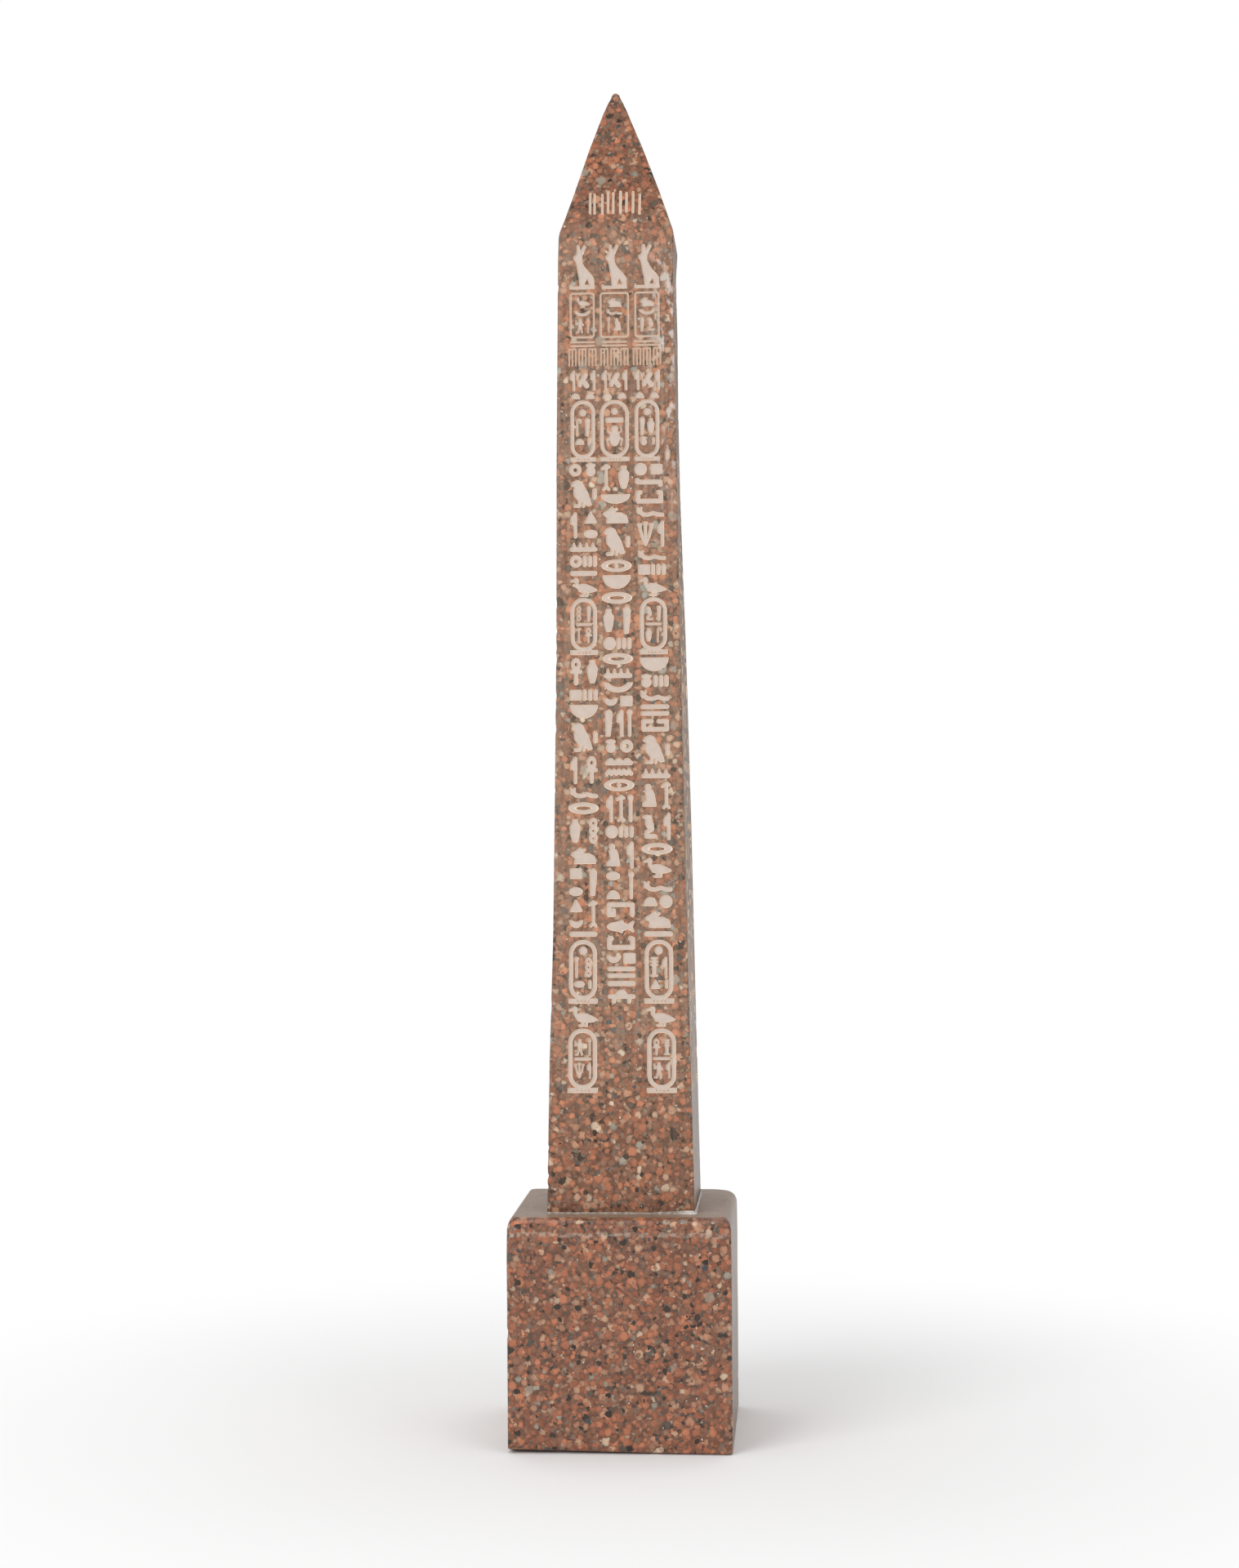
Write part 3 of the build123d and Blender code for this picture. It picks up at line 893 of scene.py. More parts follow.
def settled(x, y, z):
    """A point of the square shaft, in millimetres, moved to where it lies on the worn one, in metres.

    The right side falls back towards the rear, the right of the pyramidion swells, the left side is
    worn, and the tip leans."""
    half = max(abs(x), abs(y), 1.0)
    to_right, to_left = max(x / half, 0), max(-x / half, 0)
    to_rear = (y / half + 1) / 2
    x += to_right * (from_list(SWELLING, z) - to_rear * from_list(OUT_OF_SQUARE, z))
    x += to_left * from_list(LEFT_WEAR, z)
    x += TIP_SIDESTEP * max((z - SHOULDER_LEVEL) / PYRAMIDION_HEIGHT, 0)
    return x * MM, y * MM, z * MM


def quarter_turns(x, y, count):
    """A point of the front face, carried to the face that is so many quarter turns on."""
    for _ in range(count):
        x, y = -y, x
    return x, y


def wander(*place):
    """Smooth noise between about -1 and 1."""
    return noise.noise(Vector(place))


low_steps = round(SHOULDER_LENGTHS[0] / LEVEL_STEP)
high_steps = round((FACE_LENGTH - SHOULDER_LENGTHS[-1]) / LEVEL_STEP)
LEVELS = np.concatenate([
    np.linspace(0, SHOULDER_LENGTHS[0], low_steps, endpoint=False),
    SHOULDER_LENGTHS[:-1],
    np.linspace(SHOULDER_LENGTHS[-1], FACE_LENGTH, high_steps + 1),
])


def arris_wear(corner):
    """The radius and the set-back of one arris at every level."""
    draw = random.Random(40 + corner)
    radius = np.array([ARRIS_ROUND + 0.22 * wander(0.11 * s, 9.0 * corner, 1.5)
                       + 0.10 * wander(0.6 * s, corner, 7.0) for s in LEVELS])
    set_back = np.array([0.08 + 0.06 * wander(0.5 * s, corner, 20.0) + 0.05 * wander(0.83 * s, 30.0, corner)
                         for s in LEVELS])
    chips = [(draw.uniform(4, FACE_LENGTH - 12), draw.uniform(*CHIP_HALF_SIZE), draw.uniform(*CHIP_DEPTH))
             for _ in range(CHIPS_PER_ARRIS)]
    for middle, size, depth in chips + KNOWN_CHIPS.get(corner, []):
        bite = np.clip(1 - ((LEVELS - middle) / size) ** 2, 0, 1)
        radius += ROUNDER_BY_CHIP * depth * bite
        set_back += LOWER_BY_CHIP * depth * bite
    narrow = at_length(LEVELS)[0]
    return np.minimum(radius, 0.45 * narrow), set_back


WEAR = [arris_wear(corner) for corner in range(4)]
print(len(LEVELS), "cross-sections along each arris, by length along the middle line")

# %% Cross-sections of the shaft
def corner_arc(half, radius, set_back):
    """The rounded corner at the right of the front face, from the face to the side."""
    arc = []
    for angle in np.linspace(-math.pi / 2, 0, ARC_STEPS + 1):
        x = half - radius + radius * math.cos(angle) - set_back * math.sqrt(0.5)
        y = radius - half + radius * math.sin(angle) + set_back * math.sqrt(0.5)
        arc.append((x, y))
    return arc


def cross_section(half, radii, set_backs, level):
    """All four corners of the shaft at a level, as points in metres."""
    points = []
    for corner in range(4):
        for x, y in corner_arc(half, radii[corner], set_backs[corner]):
            points.append(settled(*quarter_turns(x, y, corner), level))
    return points


RING = 4 * (ARC_STEPS + 1)  # points in a cross-section
shaft_points = []
for row, length in enumerate(LEVELS):
    half, level, _ = at_length(length)
    half = half - hollow_at(level)
    radii = [radius[row] for radius, _ in WEAR]
    set_backs = [set_back[row] for _, set_back in WEAR]
    shaft_points += cross_section(half, radii, set_backs, level)
print(len(shaft_points), "points along the arrises")

# %% [markdown]
# ## Laying out the columns
#
# Each face has the same order from the top: a comb of strokes on the pyramidion, a seated hound
# over a framed panel in each of three columns, a niched wall, a tall ring, then rows of signs. The
# two outer columns break off for a goose over a ring, run on down to a second ring with a sun,
# and end with another goose over a ring, while the middle column runs on and stops short. Which
# sign stands where is drawn by lot, with a seed for each face, so the rows say nothing and still
# look written. A row is a list of blocks side by side, and a block is one sign or a few under
# each other, as scribes grouped them.

# %% Measures of the columns, in millimetres
# the middle of each column, as pairs of a level and a place across
COLUMNS = {-1: [(125, -12.6), (160, -12.5), (285, -11.5), (340, -11.3), (400, -11.3)],
           0: [(140, 0.7), (160, 0.6), (285, -0.15), (340, -0.6), (400, -0.3)],
           1: [(125, 14.1), (140, 13.9), (160, 13.3), (285, 12.1), (300, 11.7), (340, 10.4), (400, 10.75)]}
SIZES = [(125, 1.06), (160, 1.05), (325, 0.98), (338, 0.91), (405, 0.886)]  # level and size of the signs
PANEL_INSIDE = (0.64, 9.0)  # size of the signs in a frame, and the width that they may fill
HALVES_INSIDE = (0.60, 9.6)
SUN_INSIDE = (0.76, 7.8)
WIDE_INSIDE = (0.74, 9.4)
INSIDE_GAP = 0.6
COLUMN_WIDTH = 9.7
ROW_GAP = 0.85
SIGN_GAP = 0.55
WIDEST_GAP = 2.6  # between two blocks side by side
ANY_WIDTH = 99
TRIES = 300  # rows that are drawn for a stretch of a column, of which the fitting ones are kept
# a number drawn between 0 and 1 picks the kind of a row, and these are the upper ends of its stretches
ONE_FLAT, ALL_TALL, TALL_AND_PILE, FALCON, ALL_LOW = 0.36, 0.54, 0.74, 0.83, 0.94

FLAT_SIGNS = ["bar", "two bars", "ripple", "bowl", "mouth", "court", "arms", "viper", "pool", "hills", "boat",
              "forearm", "altar", "goose", "hare", "fish", "deep bowl", "eye", "walls"]
TALL_SIGNS = ["reed", "plume", "crook", "staff", "pillar", "looped cross", "jar", "lotus", "wick", "sitter",
              "cobra", "sceptre", "walker"]
LOW_SIGNS = ["loaf", "sun", "well", "stool", "cone", "seed", "moon", "pot"]
print(len(FLAT_SIGNS), "flat,", len(TALL_SIGNS), "tall and", len(LOW_SIGNS), "low signs to draw from")


# %% Blocks, rows and stacks of signs
def block_size(block):
    """Width and height of a block."""
    high = sum(SIGNS[name]["high"] + SIGN_GAP for name in block) - SIGN_GAP
    return max(SIGNS[name]["wide"] for name in block), high


def row_height(row):
    """The height of a row's tallest block."""
    return max(block_size(block)[1] for block in row)


def fitting(draw, names, width, most=4):
    """Blocks of one sign each, drawn by lot, that find room side by side in a width."""
    row = []
    for name in draw.sample(names, len(names)):
        if SIGNS[name]["wide"] <= width and len(row) < most:
            row.append([name])
            width -= SIGNS[name]["wide"] + SIGN_GAP
    return row


def drawn_row(draw):
    """The blocks of one row, drawn by lot."""
    lot = draw.random()
    if lot < ONE_FLAT:
        return [[draw.choice(FLAT_SIGNS)]]
    if lot < ALL_TALL:
        return fitting(draw, TALL_SIGNS, COLUMN_WIDTH)
    if lot < TALL_AND_PILE:
        low_blocks = fitting(draw, LOW_SIGNS, ANY_WIDTH, most=len(LOW_SIGNS))
        pile = [name for block in draw.sample(low_blocks, 2) for name in block]
        row = fitting(draw, TALL_SIGNS, COLUMN_WIDTH - block_size(pile)[0] - SIGN_GAP, most=2)
        return row + [pile] if draw.random() < 0.5 else [pile] + row
    if lot < FALCON:
        return [["falcon"], ["tick"]]
    if lot < ALL_LOW:
        return fitting(draw, LOW_SIGNS, COLUMN_WIDTH)
    return [[draw.choice(LOW_SIGNS)]] + [["tick"]] * 3


def stacked(rows, column, top, size, width, gap):
    """Rows set under each other from a level down, as (name, place across, level, size)."""
    placed = []
    for row in rows:
        high = row_height(row)
        taken = sum(block_size(block)[0] for block in row)
        space = min((width - taken) / max(len(row) - 1, 1), WIDEST_GAP)
        edge = -(taken + space * (len(row) - 1)) / 2
        for block in row:
            wide, block_high = block_size(block)
            spare = (high - block_high) / (len(block) - 1) if len(block) > 1 else 0
            level = top - size * (high - block_high) / 2 if len(block) == 1 else top
            for name in block:
                middle = level - size * SIGNS[name]["high"] / 2
                across = float(from_list(COLUMNS[column], middle)) + size * (edge + wide / 2)
                placed.append((name, across, middle, size))
                level -= size * (SIGNS[name]["high"] + SIGN_GAP + spare)
            edge += wide + space
        top -= size * (high + gap)
    return placed


def text(draw, column, top, low):
    """Rows of signs, drawn by lot, that fill a column from one level down to another."""
    size = float(from_list(SIZES, (top + low) / 2))
    rows, room, last = [], (top - low) / size, set()
    for _ in range(TRIES):
        row = drawn_row(draw)
        names = {name for block in row for name in block}
        if row_height(row) <= room and not names & last:
            rows.append(row)
            room -= row_height(row) + ROW_GAP
            last = names
    gap = ROW_GAP + (room + ROW_GAP) / (len(rows) - 1)
    return stacked(rows, column, top, size, COLUMN_WIDTH, gap)


# %% Rings, frames and whole faces
# where each form begins or ends, in millimetres above the table
HOUND_TOP = 405.0
FRAME_TOP = 388.5
RULES_TOP = 372.2
NICHES_TOP = 369.9
REEDS_TOP = 362.3
LOAVES_TOP = 354.4
TALL_RING_TOP = 352.0
TEXT_TOP = 330.6
UPPER_TEXT_END = 292.6
UPPER_GOOSE_TOP = 292.1
UPPER_RING_TOP = 285.2
LOWER_TEXT_TOP = 265.0
LOWER_TEXT_END = 170.9
SECOND_SUN_TOP = 169.9
MIDDLE_TEXT_END = 148.3
LOWER_GOOSE_TOP = 147.6
LOWER_RING_TOP = 140.1
# size, width and gap of the rows that stand without a ring or a frame
RULES_LAID = (0.9, COLUMN_WIDTH, 0.2)
REEDS_LAID = (0.78, 11.8, 0)
LOAVES_LAID = (0.68, 12.0, 0)
# how far the signs in a ring sit above its middle, to clear the tie bar
HALVES_LIFT = 0.65
SUN_LIFT = 1.3
BEETLE_GAP = 1.1


def alone(name, column, top):
    """One large sign under a level."""
    return stacked([[[name]]], column, top, float(from_list(SIZES, top)), COLUMN_WIDTH, 0)


def framed(name, column, top, rows, lift, inside, gap):
    """A ring or a frame under a level, with rows of signs inside it."""
    outer = alone(name, column, top)
    size, middle = outer[0][3], outer[0][2]
    high = sum(row_height(row) + gap for row in rows) - gap
    inner_top = middle + size * (lift + inside[0] * high / 2)
    return outer + stacked(rows, column, inner_top, size * inside[0], inside[1], gap)


def ring(draw, column, top, name):
    """A ring with signs in two halves and a bar between them."""
    halves = [fitting(draw, TALL_SIGNS, HALVES_INSIDE[1]) for _ in range(2)]
    rows = [halves[0], [["bar"]], halves[1]]
    return framed(name, column, top, rows, HALVES_LIFT, HALVES_INSIDE, INSIDE_GAP)


def sun_ring(draw, column, top, name):
    """A ring with a sun over tall signs. The wide one in the middle has a slab and a beetle under it."""
    if column == 0:
        rows = [[["dot"]], [["slab"]], [["beetle"]]]
        return framed("wide ring", column, top, rows, SUN_LIFT, WIDE_INSIDE, BEETLE_GAP)
    tall = fitting(draw, TALL_SIGNS, SUN_INSIDE[1], most=2)
    rows = [[["dot"]], tall, [[draw.choice(LOW_SIGNS)], ["tick"]]]
    return framed(name, column, top, rows, SUN_LIFT, SUN_INSIDE, INSIDE_GAP)


def framed_panel(draw, column):
    """A frame with two flat signs over tall ones. The middle frame is wider."""
    rows = [[[draw.choice(["hare", "goose", "court"])]], [[draw.choice(["viper", "arms", "boat"])]],
            fitting(draw, TALL_SIGNS, PANEL_INSIDE[1], most=3)]
    name = "frame" if column else "wide frame"
    return framed(name, column, FRAME_TOP, rows, 0.0, PANEL_INSIDE, ROW_GAP)


def face_layout(seed):
    """Every sign of a face below the shoulder, as (name, place across, level, size)."""
    draw = random.Random(seed)
    placed = []
    for column in (-1, 0, 1):
        placed += alone("hound", column, HOUND_TOP)
        placed += framed_panel(draw, column)
        placed += stacked([[["rule"]], [["rule"]]], column, RULES_TOP, *RULES_LAID)
        placed += alone("niches", column, NICHES_TOP)
        placed += stacked([[["reed"], ["sprig"], ["reed"]]], column, REEDS_TOP, *REEDS_LAID)
        placed += stacked([[["loaf"], ["loaf"]]], column, LOAVES_TOP, *LOAVES_LAID)
        placed += sun_ring(draw, column, TALL_RING_TOP, "tall ring")
    placed += text(draw, 0, TEXT_TOP, MIDDLE_TEXT_END)
    for column in (-1, 1):
        placed += text(draw, column, TEXT_TOP, UPPER_TEXT_END)
        placed += alone("goose", column, UPPER_GOOSE_TOP)
        placed += ring(draw, column, UPPER_RING_TOP, "ring")
        placed += text(draw, column, LOWER_TEXT_TOP, LOWER_TEXT_END)
        placed += sun_ring(draw, column, SECOND_SUN_TOP, "low ring")
        placed += alone("goose", column, LOWER_GOOSE_TOP)
        placed += ring(draw, column, LOWER_RING_TOP, "low ring")
    return placed


FACE_SEEDS = [11, 12, 13, 14]
layouts = [face_layout(seed) for seed in FACE_SEEDS]
print([len(layout) for layout in layouts], "signs on the four faces")

# %% [markdown]
# ## Cutting the signs into the stone
#
# A Boolean cut of hundreds of signs into a solid is slow and leaves poor edges, and a displacement
# map would need millions of triangles to hold a rim that sharp. But a face of the shaft is nearly
# flat, so the cutting can be done in the flat: the face's edges, the rims and the feet of all walls
# go into one triangulation, which keeps each of those lines as edges. Afterwards the points on the
# feet are pushed into the stone. Every triangle is then polished surface, wall or floor, and the
# mesh stays closed, because no triangle was added or lost.

# %% Triangulating a face
CARVING_DEPTH = 0.45  # millimetres
FILL_PITCH = 4.5  # millimetres between the points that fill the bare stone
FILL_STRAY = 1.0  # how far each of them may stray
FILL_INSET = 3.5  # and how far they keep from the edges of the face
BOX_MARGIN = 0.6  # millimetres round a sign that stay free of them
SHOULDER_MARGIN = 2  # and millimetres below and above the rounded shoulder
SAME_PLACE = 1e-6
TOOTH_PLACES = [-8.9, -7.0, -4.6, -2.5, -0.5, 1.9, 3.5, 5.7, 8.0]
TOOTH_MIDDLE = 11.4  # millimetres above the shoulder line, along the face
STONE, WALL, FLOOR = range(3)

sign("tooth", 0.7, 8.2, stroke((0, -3.8), (0, 3.8), width=0.5))


def comb(seed):
    """The strokes on a face of the pyramidion, uneven in place and height."""
    draw = random.Random(seed)
    shoulder = length_of(SHOULDER_LEVEL)
    return [("tooth", place + draw.uniform(-0.3, 0.3), shoulder + TOOTH_MIDDLE + draw.uniform(-0.5, 0.5),
             draw.uniform(0.9, 1.08)) for place in TOOTH_PLACES]


def laid_out(loops, across, length, size):
    """A sign's loops in their place on a face."""
    return [[(across + size * x, length + size * y) for x, y in loop] for loop in loops]


def covered(xs, ys, loops):
    """True for the points that lie inside an odd number of loops."""
    inside = np.zeros(len(xs), bool)
    for loop in loops:
        for (ax, ay), (bx, by) in zip(loop, loop[1:] + loop[:1]):
            if ay != by:
                inside ^= ((ay > ys) != (by > ys)) & (xs < ax + (bx - ax) * (ys - ay) / (by - ay))
    return inside


class Flat:
    """The flat pattern of a face, before it is triangulated."""

    def __init__(self):
        self.points = []
        self.edges = []
        self.depths = []
        self.cuts = []

    def add(self, points, depth, cut, closed):
        """Adds a run of points and the edges between them."""
        first = len(self.points)
        count = len(points)
        self.points += points
        self.depths += [depth] * count
        self.cuts += [cut] * count
        self.edges += [(first + k, first + (k + 1) % count) for k in range(count if closed else 0)]


def flat_edges(face):
    """Both long edges of a face in the flat, and the numbers of the same points on the arrises."""
    half = at_length(LEVELS)[0] - hollow_at(at_length(LEVELS)[1])
    sides = []
    for corner, side in ((face, 1), ((face - 1) % 4, -1)):
        radius, set_back = WEAR[corner]
        across = side * (half - radius - set_back * math.sqrt(0.5))
        number = np.arange(len(LEVELS)) * RING + corner * (ARC_STEPS + 1) + (0 if side > 0 else ARC_STEPS)
        sides.append((list(zip(across.tolist(), LEVELS.tolist())), number.tolist()))
    return sides


def fill_points(boxes, draw):
    """Points for the bare stone between the signs, so that no triangle gets too long."""
    found = []
    for length in np.arange(FILL_PITCH, FACE_LENGTH - FILL_PITCH, FILL_PITCH):
        if SHOULDER_LENGTHS[0] - SHOULDER_MARGIN < length < SHOULDER_LENGTHS[-1] + SHOULDER_MARGIN:
            continue
        reach = float(at_length(length)[0]) - FILL_INSET
        for across in np.arange(-reach, reach, FILL_PITCH):
            x = across + draw.uniform(-FILL_STRAY, FILL_STRAY)
            y = length + draw.uniform(-FILL_STRAY, FILL_STRAY)
            if not any(low_x < x < high_x and low_y < y < high_y for low_x, low_y, high_x, high_y in boxes):
                found.append((x, y))
    return found


def triangulated(face, layout):
    """Triangles of one face with their zones, and the points with the depth of each."""
    (right, right_numbers), (left, left_numbers) = flat_edges(face)
    outline = right + left[::-1]
    flat = Flat()
    flat.add(outline, 0, 0, closed=True)
    rows, count = len(LEVELS), len(outline)
    flat.edges += [(row, count - 1 - row) for row in range(rows) if LEVELS[row] in SHOULDER_LENGTHS]
    signs, boxes = [], []
    for name, across, length, size in layout:
        rim = laid_out(SIGNS[name]["rim"], across, length, size)
        foot = laid_out(SIGNS[name]["foot"], across, length, size)
        for loop in rim:
            flat.add(loop, 0, 0, closed=True)
        for loop in foot:
            flat.add(loop, CARVING_DEPTH, 1, closed=True)
        wide, high = (size * SIGNS[name][side] / 2 + BOX_MARGIN for side in ("wide", "high"))
        box = (across - wide, length - high, across + wide, length + high)
        boxes.append(box)
        signs.append((box, rim, foot))
    flat.add(fill_points(boxes, random.Random(face)), 0, 0, closed=False)

    corners = [Vector(point) for point in flat.points]
    found, _, triangles, origins = delaunay_2d_cdt(corners, flat.edges, [], 0, SAME_PLACE, True)[:4]
    first = [origin[0] if origin else None for origin in origins]
    found = np.array([tuple(p) for p in found])
    triangles = np.array([tuple(t) for t in triangles])
    middles = found[triangles].mean(axis=1)
    kept = covered(middles[:, 0], middles[:, 1], [outline])
    triangles, middles = triangles[kept], middles[kept]
    zones = np.full(len(triangles), STONE)
    for (low_x, low_y, high_x, high_y), rim, foot in signs:
        near = np.where((middles[:, 0] > low_x) & (middles[:, 0] < high_x)
                        & (middles[:, 1] > low_y) & (middles[:, 1] < high_y))[0]
        inside_rim = covered(middles[near, 0], middles[near, 1], rim)
        inside_foot = covered(middles[near, 0], middles[near, 1], foot)
        zones[near[inside_rim]] = WALL
        zones[near[inside_foot]] = FLOOR
    depths = np.array([0 if k is None else flat.depths[k] for k in first])
    cuts = np.array([0 if k is None else flat.cuts[k] for k in first])
    numbers = right_numbers + left_numbers[::-1]
    owners = [numbers[k] if k is not None and k < count else None for k in first]
    stray = sum(k is None for k in first)
    print("face", face, "has", len(found), "points,", len(triangles), "triangles,", stray, "stray points")
    return found, triangles, zones, depths, cuts, owners

# %% [markdown]
# ## Closing the shaft
#
# The four cut faces share their long edges with the four arrises, point for point. What is missing
# is the tip and the underside. The tip is a few more cross-sections that shrink along the rounding,
# and their corners grow round as they shrink, the way a hand-ground tip does. The arrays of
# points and faces then go into a mesh in one step.

# %% Making an object out of points and faces
LARGE_FACE_WEIGHT = 80  # of 100, for the modifier that lets large faces decide the shading


def piece_from(name, points, faces, zones, materials, cuts=None):
    """A smooth-shaded object whose edges are sharp where two zones of its surface meet."""
    mesh = bpy.data.meshes.new(name)
    mesh.from_pydata(points, [], faces)
    mesh.shade_smooth()
    for material in materials:
        mesh.materials.append(material)
    mesh.polygons.foreach_set("material_index", [min(zone, len(materials) - 1) for zone in zones])
    sides = {}
    for face, zone in zip(faces, zones):
        for first, second in zip(face, face[1:] + face[:1]):
            sides.setdefault((min(first, second), max(first, second)), set()).add(zone)
    sharp = mesh.attributes.new("sharp_edge", "BOOLEAN", "EDGE")
    sharp.data.foreach_set("value", [len(sides[tuple(sorted(edge.vertices))]) > 1 for edge in mesh.edges])
    if cuts is not None:
        mesh.attributes.new("cut", "FLOAT", "POINT").data.foreach_set("value", cuts)
    mesh.validate()
    made = bpy.data.objects.new(name, mesh)
    bpy.context.scene.collection.objects.link(made)
    weighted = made.modifiers.new("large faces decide the shading", "WEIGHTED_NORMAL")
    weighted.keep_sharp = True
    weighted.weight = LARGE_FACE_WEIGHT
    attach(made, BODY)
    print(name, "has", len(mesh.vertices), "points and", len(mesh.polygons), "faces")
    return made


def band(lower, upper):
    """Faces between two closed rings of as many points."""
    count = len(lower)
    return [(lower[k], lower[(k + 1) % count], upper[(k + 1) % count], upper[k]) for k in range(count)]


# %% Faces, arrises, tip and underside of the shaft
TIP_STEPS = 7
FOOT_ROUND = 0.5


def front_point(across, length, depth):
    """A point on the front face, in millimetres, pushed into the stone by a depth."""
    half, level, slope = at_length(length)
    return across, hollow_at(level) - half + depth * math.cos(slope), level - depth * math.sin(slope)


def shaft_surface():
    """Points, faces, zones and cut values of the whole shaft."""
    points, faces, zones = list(shaft_points), [], []
    cuts = [0.0] * len(points)

    for face in range(4):
        signs = comb(face) + [(name, x, length_of(level), size) for name, x, level, size in layouts[face]]
        found, triangles, kinds, depths, shares, owners = triangulated(face, signs)
        numbers = []
        rows = zip(found.tolist(), depths.tolist(), shares.tolist(), owners)
        for (across, length), depth, share, owner in rows:
            if owner is None:
                x, y, z = front_point(across, length, depth)
                owner = len(points)
                points.append(settled(*quarter_turns(x, y, face), z))
                cuts.append(float(share))
            numbers.append(owner)
        faces += [tuple(numbers[k] for k in triangle) for triangle in triangles.tolist()]
        zones += kinds.tolist()

    for row in range(len(LEVELS) - 1):
        for corner in range(4):
            for step in range(ARC_STEPS):
                k = row * RING + corner * (ARC_STEPS + 1) + step
                faces.append((k, k + 1, k + 1 + RING, k + RING))

    rings = [list(range(len(shaft_points) - RING, len(shaft_points)))]
    worn_half = TIP_ROUND * math.cos(HIGH_SLOPE) - TIP_WEAR[-1][1]
    for share in np.linspace(0, 1, TIP_STEPS + 1)[1:-1]:
        angle = HIGH_SLOPE + (math.pi / 2 - HIGH_SLOPE) * share
        half = worn_half * math.cos(angle) / math.cos(HIGH_SLOPE)
        radius = half * (0.4 + 0.5 * share)
        rings.append(list(range(len(points), len(points) + RING)))
        points += cross_section(half, [radius] * 4, [0] * 4, TIP_CENTRE + TIP_ROUND * math.sin(angle))
    for lower, upper in zip(rings, rings[1:]):
        faces += band(lower, upper)
    top = len(points)
    points.append(settled(0, 0, TIP_CENTRE + TIP_ROUND))
    faces += [(rings[-1][k], rings[-1][(k + 1) % RING], top) for k in range(RING)]

    first = list(range(RING))
    under = list(range(len(points), len(points) + RING))
    points += cross_section(FOOT_HALF - FOOT_ROUND, [ARRIS_ROUND] * 4, [0] * 4, FOOT_LEVEL)
    faces += band(under, first)
    faces.append(tuple(reversed(under)))
    cuts += [0.0] * (len(points) - len(cuts))
    zones += [STONE] * (len(faces) - len(zones))
    return points, faces, zones, cuts

# %% [markdown]
# ## The plinth
#
# The plinth looks sawn square, with its upper edges ground round by eye. It is a stack of rings,
# each a square with rounded corners. From the foot up, the rings first widen over a small rounding,
# stay the same along the sides, then shrink along a quarter circle, while their corners grow
# rounder. One formula for a ring gives all of it, and each corner has its own roundness, because
# no two of them look alike. Small chips are dents pushed into the finished points.

# %% Rings with rounded corners
SIDE_STEPS = 26
CORNER_STEPS = 7


def square_ring(half, radii):
    """Points around a square with four corners of different radius, from the front left, in order."""
    ring = []
    for corner in range(4):
        before, after = radii[(corner - 1) % 4], radii[corner]
        for across in np.linspace(before - half, half - after, SIDE_STEPS, endpoint=False):
            ring.append(quarter_turns(across, -half, corner))
        for angle in np.linspace(-math.pi / 2, 0, CORNER_STEPS, endpoint=False):
            x = half - after + after * math.cos(angle)
            y = after - half + after * math.sin(angle)
            ring.append(quarter_turns(x, y, corner))
    return ring


print("a ring of the plinth has", 4 * (SIDE_STEPS + CORNER_STEPS), "points")


# %% The plinth's rings, in millimetres
PLINTH_HALF = round(plinth_high.x, 1)
PLINTH_TOP = plinth_high.z
TOP_ROUND = 4.6
TOP_ROUND_STEPS = 9
UNDER_ROUND = 1.0
UNDER_ROUND_STEPS = 4
INNER_HALVES = (31.5, 29.5, 27.5, 25.5, 23.0)  # of the rings on the flat top
RING_STEP = 1.3
PLAIN_CORNER = 1.2
WORN_CORNERS = [5.6, 6.5, 2.2, 4.6]  # at the top: front right, rear right, rear left, front left
CORNER_FADE = 17.0  # how far below the top a corner starts to round more
SQUARER_LEFT = 2.5  # how much less the top edge is rounded at the left
SQUARER_RIGHT = 1.1  # and at the right
LIFT = 1.5  # how far the foot's front edge is worn up at the left
LIFT_HIGH = 2.0  # the wear ends this far up
LIFT_DEEP = 6.0  # and this far back
PLINTH_CHIPS = [  # place, size and depth of each dent
    ((-37.5, -37.5, 40.0), 2.0, 0.7), ((-37.5, -37.5, 57.0), 1.2, 0.4), ((37.5, -37.5, 22.0), 1.6, 0.5),
    ((37.5, -37.5, 3.0), 2.2, 0.6), ((-37.5, 37.5, 30.0), 2.4, 0.8), ((37.5, 37.5, 12.0), 2.0, 0.7),
    ((-20.0, -37.5, 0.5), 2.6, 0.5), ((12.0, -37.5, 0.3), 1.8, 0.4), ((37.5, 5.0, 0.4), 2.2, 0.5),
]


def corner_radii(level):
    """The radius of the four upright arrises at a level."""
    share = max(0.0, 1 - (PLINTH_TOP - level) / CORNER_FADE)
    return [PLAIN_CORNER + 0.25 * wander(0.09 * level, corner, 3.0) + (worn - PLAIN_CORNER) * share ** 2.2
            for corner, worn in enumerate(WORN_CORNERS)]


def plinth_rings():
    """Rings from the underside to the middle of the top, as (half width, radii, level)."""
    rings = []
    for angle in np.linspace(0, math.pi / 2, UNDER_ROUND_STEPS + 1):
        half = PLINTH_HALF - UNDER_ROUND + UNDER_ROUND * math.sin(angle)
        rings.append((half, UNDER_ROUND - UNDER_ROUND * math.cos(angle)))
    side_top = PLINTH_TOP - TOP_ROUND
    side_levels = np.linspace(UNDER_ROUND, side_top, round(side_top / RING_STEP))[1:]
    rings += [(PLINTH_HALF, level) for level in side_levels]
    for angle in np.linspace(0, math.pi / 2, TOP_ROUND_STEPS + 1)[1:]:
        half = PLINTH_HALF - TOP_ROUND + TOP_ROUND * math.cos(angle)
        rings.append((half, side_top + TOP_ROUND * math.sin(angle)))
    rings += [(half, PLINTH_TOP) for half in INNER_HALVES]
    return [(half, corner_radii(level), level) for half, level in rings]


